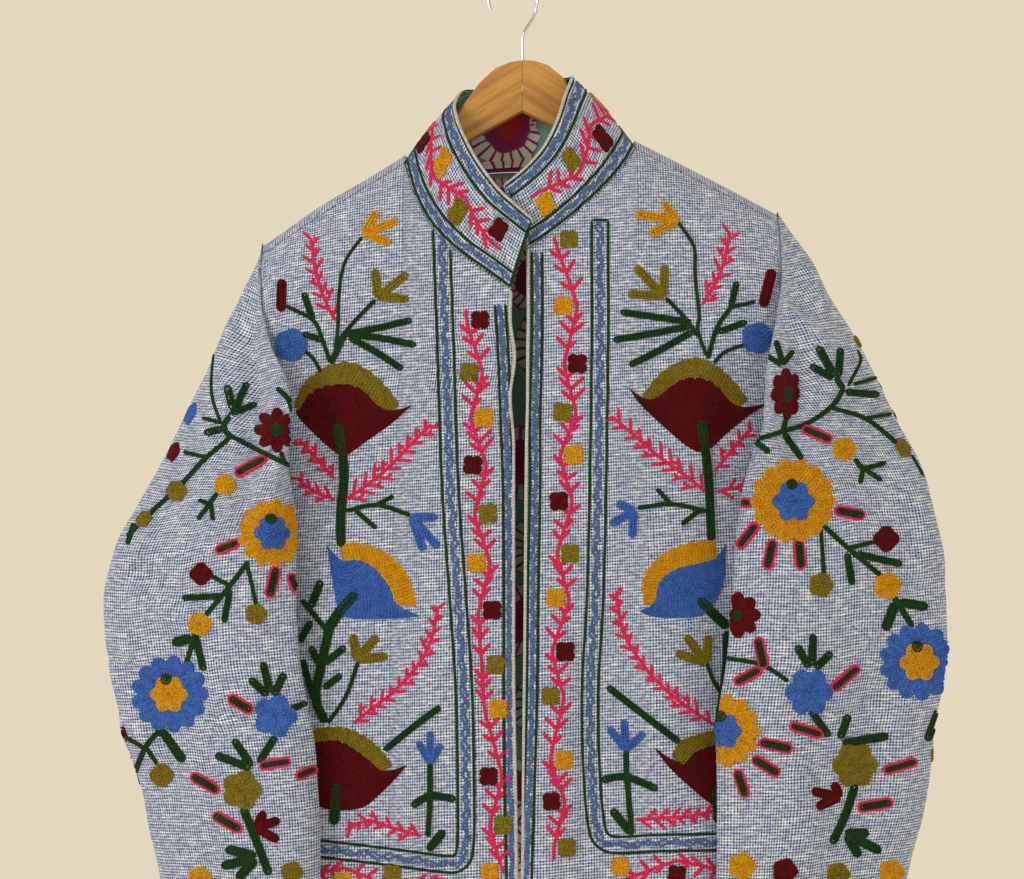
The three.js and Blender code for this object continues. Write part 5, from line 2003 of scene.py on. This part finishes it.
def sew_sleeve(side):
    made = SLEEVES_MADE[side]
    rods, tulips, flowers = SLEEVE_MOTIFS[side]
    for face in ("front", "back"):
        cloth = Cloth(f"sleeve_{side}_{face}", made[1], True, face == "back")
        if cloth.behind:
            cloth.hides = beside_body
        sew_motifs(cloth, rods, tulips, [], [])
        sew_flowers(cloth, flowers)
        sew_flowers(cloth, [(colour, radius, 5, 0.22, at) for colour, radius, at in CUFF_FLOWERS[side]])
        cloth.make()
    cuff = Cloth(f"cuff_{side}", made[1], True)
    add_edge_roll(cuff, made, -1, slice(None), True)
    cuff.make()


def beside_body(place):
    """Whether a place on a sleeve lies behind the body's side, where no stitches go."""
    upright_x = place[0] - HANG_OFFSET
    upright_z = place[2] - LEAN * upright_x
    return abs(upright_x) < half_width(upright_z) + SLEEVE_CLEAR


def sew_collar():
    cloth = CollarCloth("collar", collar[1], collar[2])
    end = cloth.length[-1]
    along = np.linspace(COLLAR_END_GAP, end - COLLAR_END_GAP, 60)
    for row in COLLAR_BAND_ROWS:
        path = np.stack([along, np.full(len(along), row)], -1)
        cloth.lay(band(resampled(path, STEP_PX), COLLAR_BAND_HALF))
    middle = [(x, -COLLAR_HEIGHT_PX / 2) for x in np.linspace(4, end - 4, 12)]
    flowers = even_flowers(0.6, 12.2, ["wine", "olive", "gold"])
    cloth.lay(vine(middle, flowers, 21, COLLAR_VINE_HALF))
    edge = [(COLLAR_EDGE, y) for y in np.linspace(-COLLAR_HEIGHT_PX + 2, -2, 12)]
    cloth.lay([line_of(edge, "green", LINE_WIDTH)])
    add_edge_roll(cloth, collar, -1, slice(None))
    cloth.make()


def sew_back():
    cloth = Cloth("back", back[1], False, True)
    sew_motifs(cloth, *FRONT_MOTIFS["left"], dx=-BACK_MOTIFS_OUT, seed=70)
    sew_motifs(cloth, *FRONT_MOTIFS["right"], dx=BACK_MOTIFS_OUT, seed=80)
    sew_flowers(cloth, BACK_FLOWERS)
    sew_motifs(cloth, BACK_RODS, [], BACK_CORALS, [], seed=90)
    columns = np.linspace(236, 800, 12)
    hem, upper, middle = ([(x, hem_row(x) - rise) for x in columns] for rise in BACK_BORDER_RISES)
    cloth.lay(band(smooth_path(hem), EDGE_BAND_HALF))
    cloth.lay(band(smooth_path(upper), OUTER_BAND_HALF))
    cloth.lay(vine(middle, even_flowers(0.5, 12, ["gold", "wine", "olive"]), 31))
    cloth.make()


def dress_node(name, material):
    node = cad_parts[name]
    node.data.materials.clear()
    node.data.materials.append(material)


def paint_room():
    world = bpy.data.worlds.new("wall")
    bpy.context.scene.world = world
    world.use_nodes = True
    background = world.node_tree.nodes["Background"]
    background.inputs["Color"].default_value = ROOM_COLOR
    background.inputs["Strength"].default_value = 1.0


def place_camera():
    camera = bpy.data.cameras.new("camera")
    camera.sensor_width = SENSOR
    camera.lens = SENSOR * VIEW_DISTANCE / VIEW_WIDTH
    obj = bpy.data.objects.new("camera", camera)
    obj.location = (VIEW_X, VIEW_PLANE_Y - VIEW_DISTANCE, VIEW_Z)
    obj.rotation_euler = (math.pi / 2, 0, 0)
    bpy.context.collection.objects.link(obj)
    bpy.context.scene.camera = obj
    bpy.context.scene.view_settings.view_transform = "Standard"


def area_light(name, place, target, size, power, color):
    light = bpy.data.lights.new(name, "AREA")
    light.shape = "RECTANGLE"
    light.size = size
    light.size_y = size
    light.energy = power
    light.color = color
    obj = bpy.data.objects.new(name, light)
    obj.location = place
    obj.rotation_euler = (Vector(target) - Vector(place)).to_track_quat("-Z", "Y").to_euler()
    bpy.context.collection.objects.link(obj)


def lay_floor():
    across, deep = np.array(FLOOR_SIZE) / 2
    corners = [(-1, -1), (1, -1), (1, 1), (-1, 1)]
    points = np.array([(x * across, y * deep, FLOOR_Z) for x, y in corners])
    floor = new_object("floor", points, np.array([[0, 1, 2, 3]]))
    floor.data.materials.append(painted_wall())


# The cloths
THREADS = {name: thread(name, *tones) for name, tones in THREAD_COLORS.items()}
cloth_material = hopsack()
lining_material = printed_lining()
CLOTH_FACES = [cloth_material, lining_material]
LINING_FACES = [lining_material, lining_material]

FRONTS = {side: build_front(side) for side in ("left", "right")}
back = build_back()
lining_back = build_lining()
collar = build_collar()
facing = build_facing()
SLEEVES_MADE = {side: build_sleeve(side) for side in ("left", "right")}

# The embroidery
sew_front("left")
sew_front("right")
sew_sleeve("left")
sew_sleeve("right")
sew_collar()
sew_back()

# The hanger and the room
dress_node("hanger_left", varnished_wood("wood_left", WOOD_SLOPE))
dress_node("hanger_right", varnished_wood("wood_right", -WOOD_SLOPE))
dress_node("hanger_hook", steel_wire())
paint_room()
place_camera()
for light in LIGHTS:
    area_light(*light)
lay_floor()
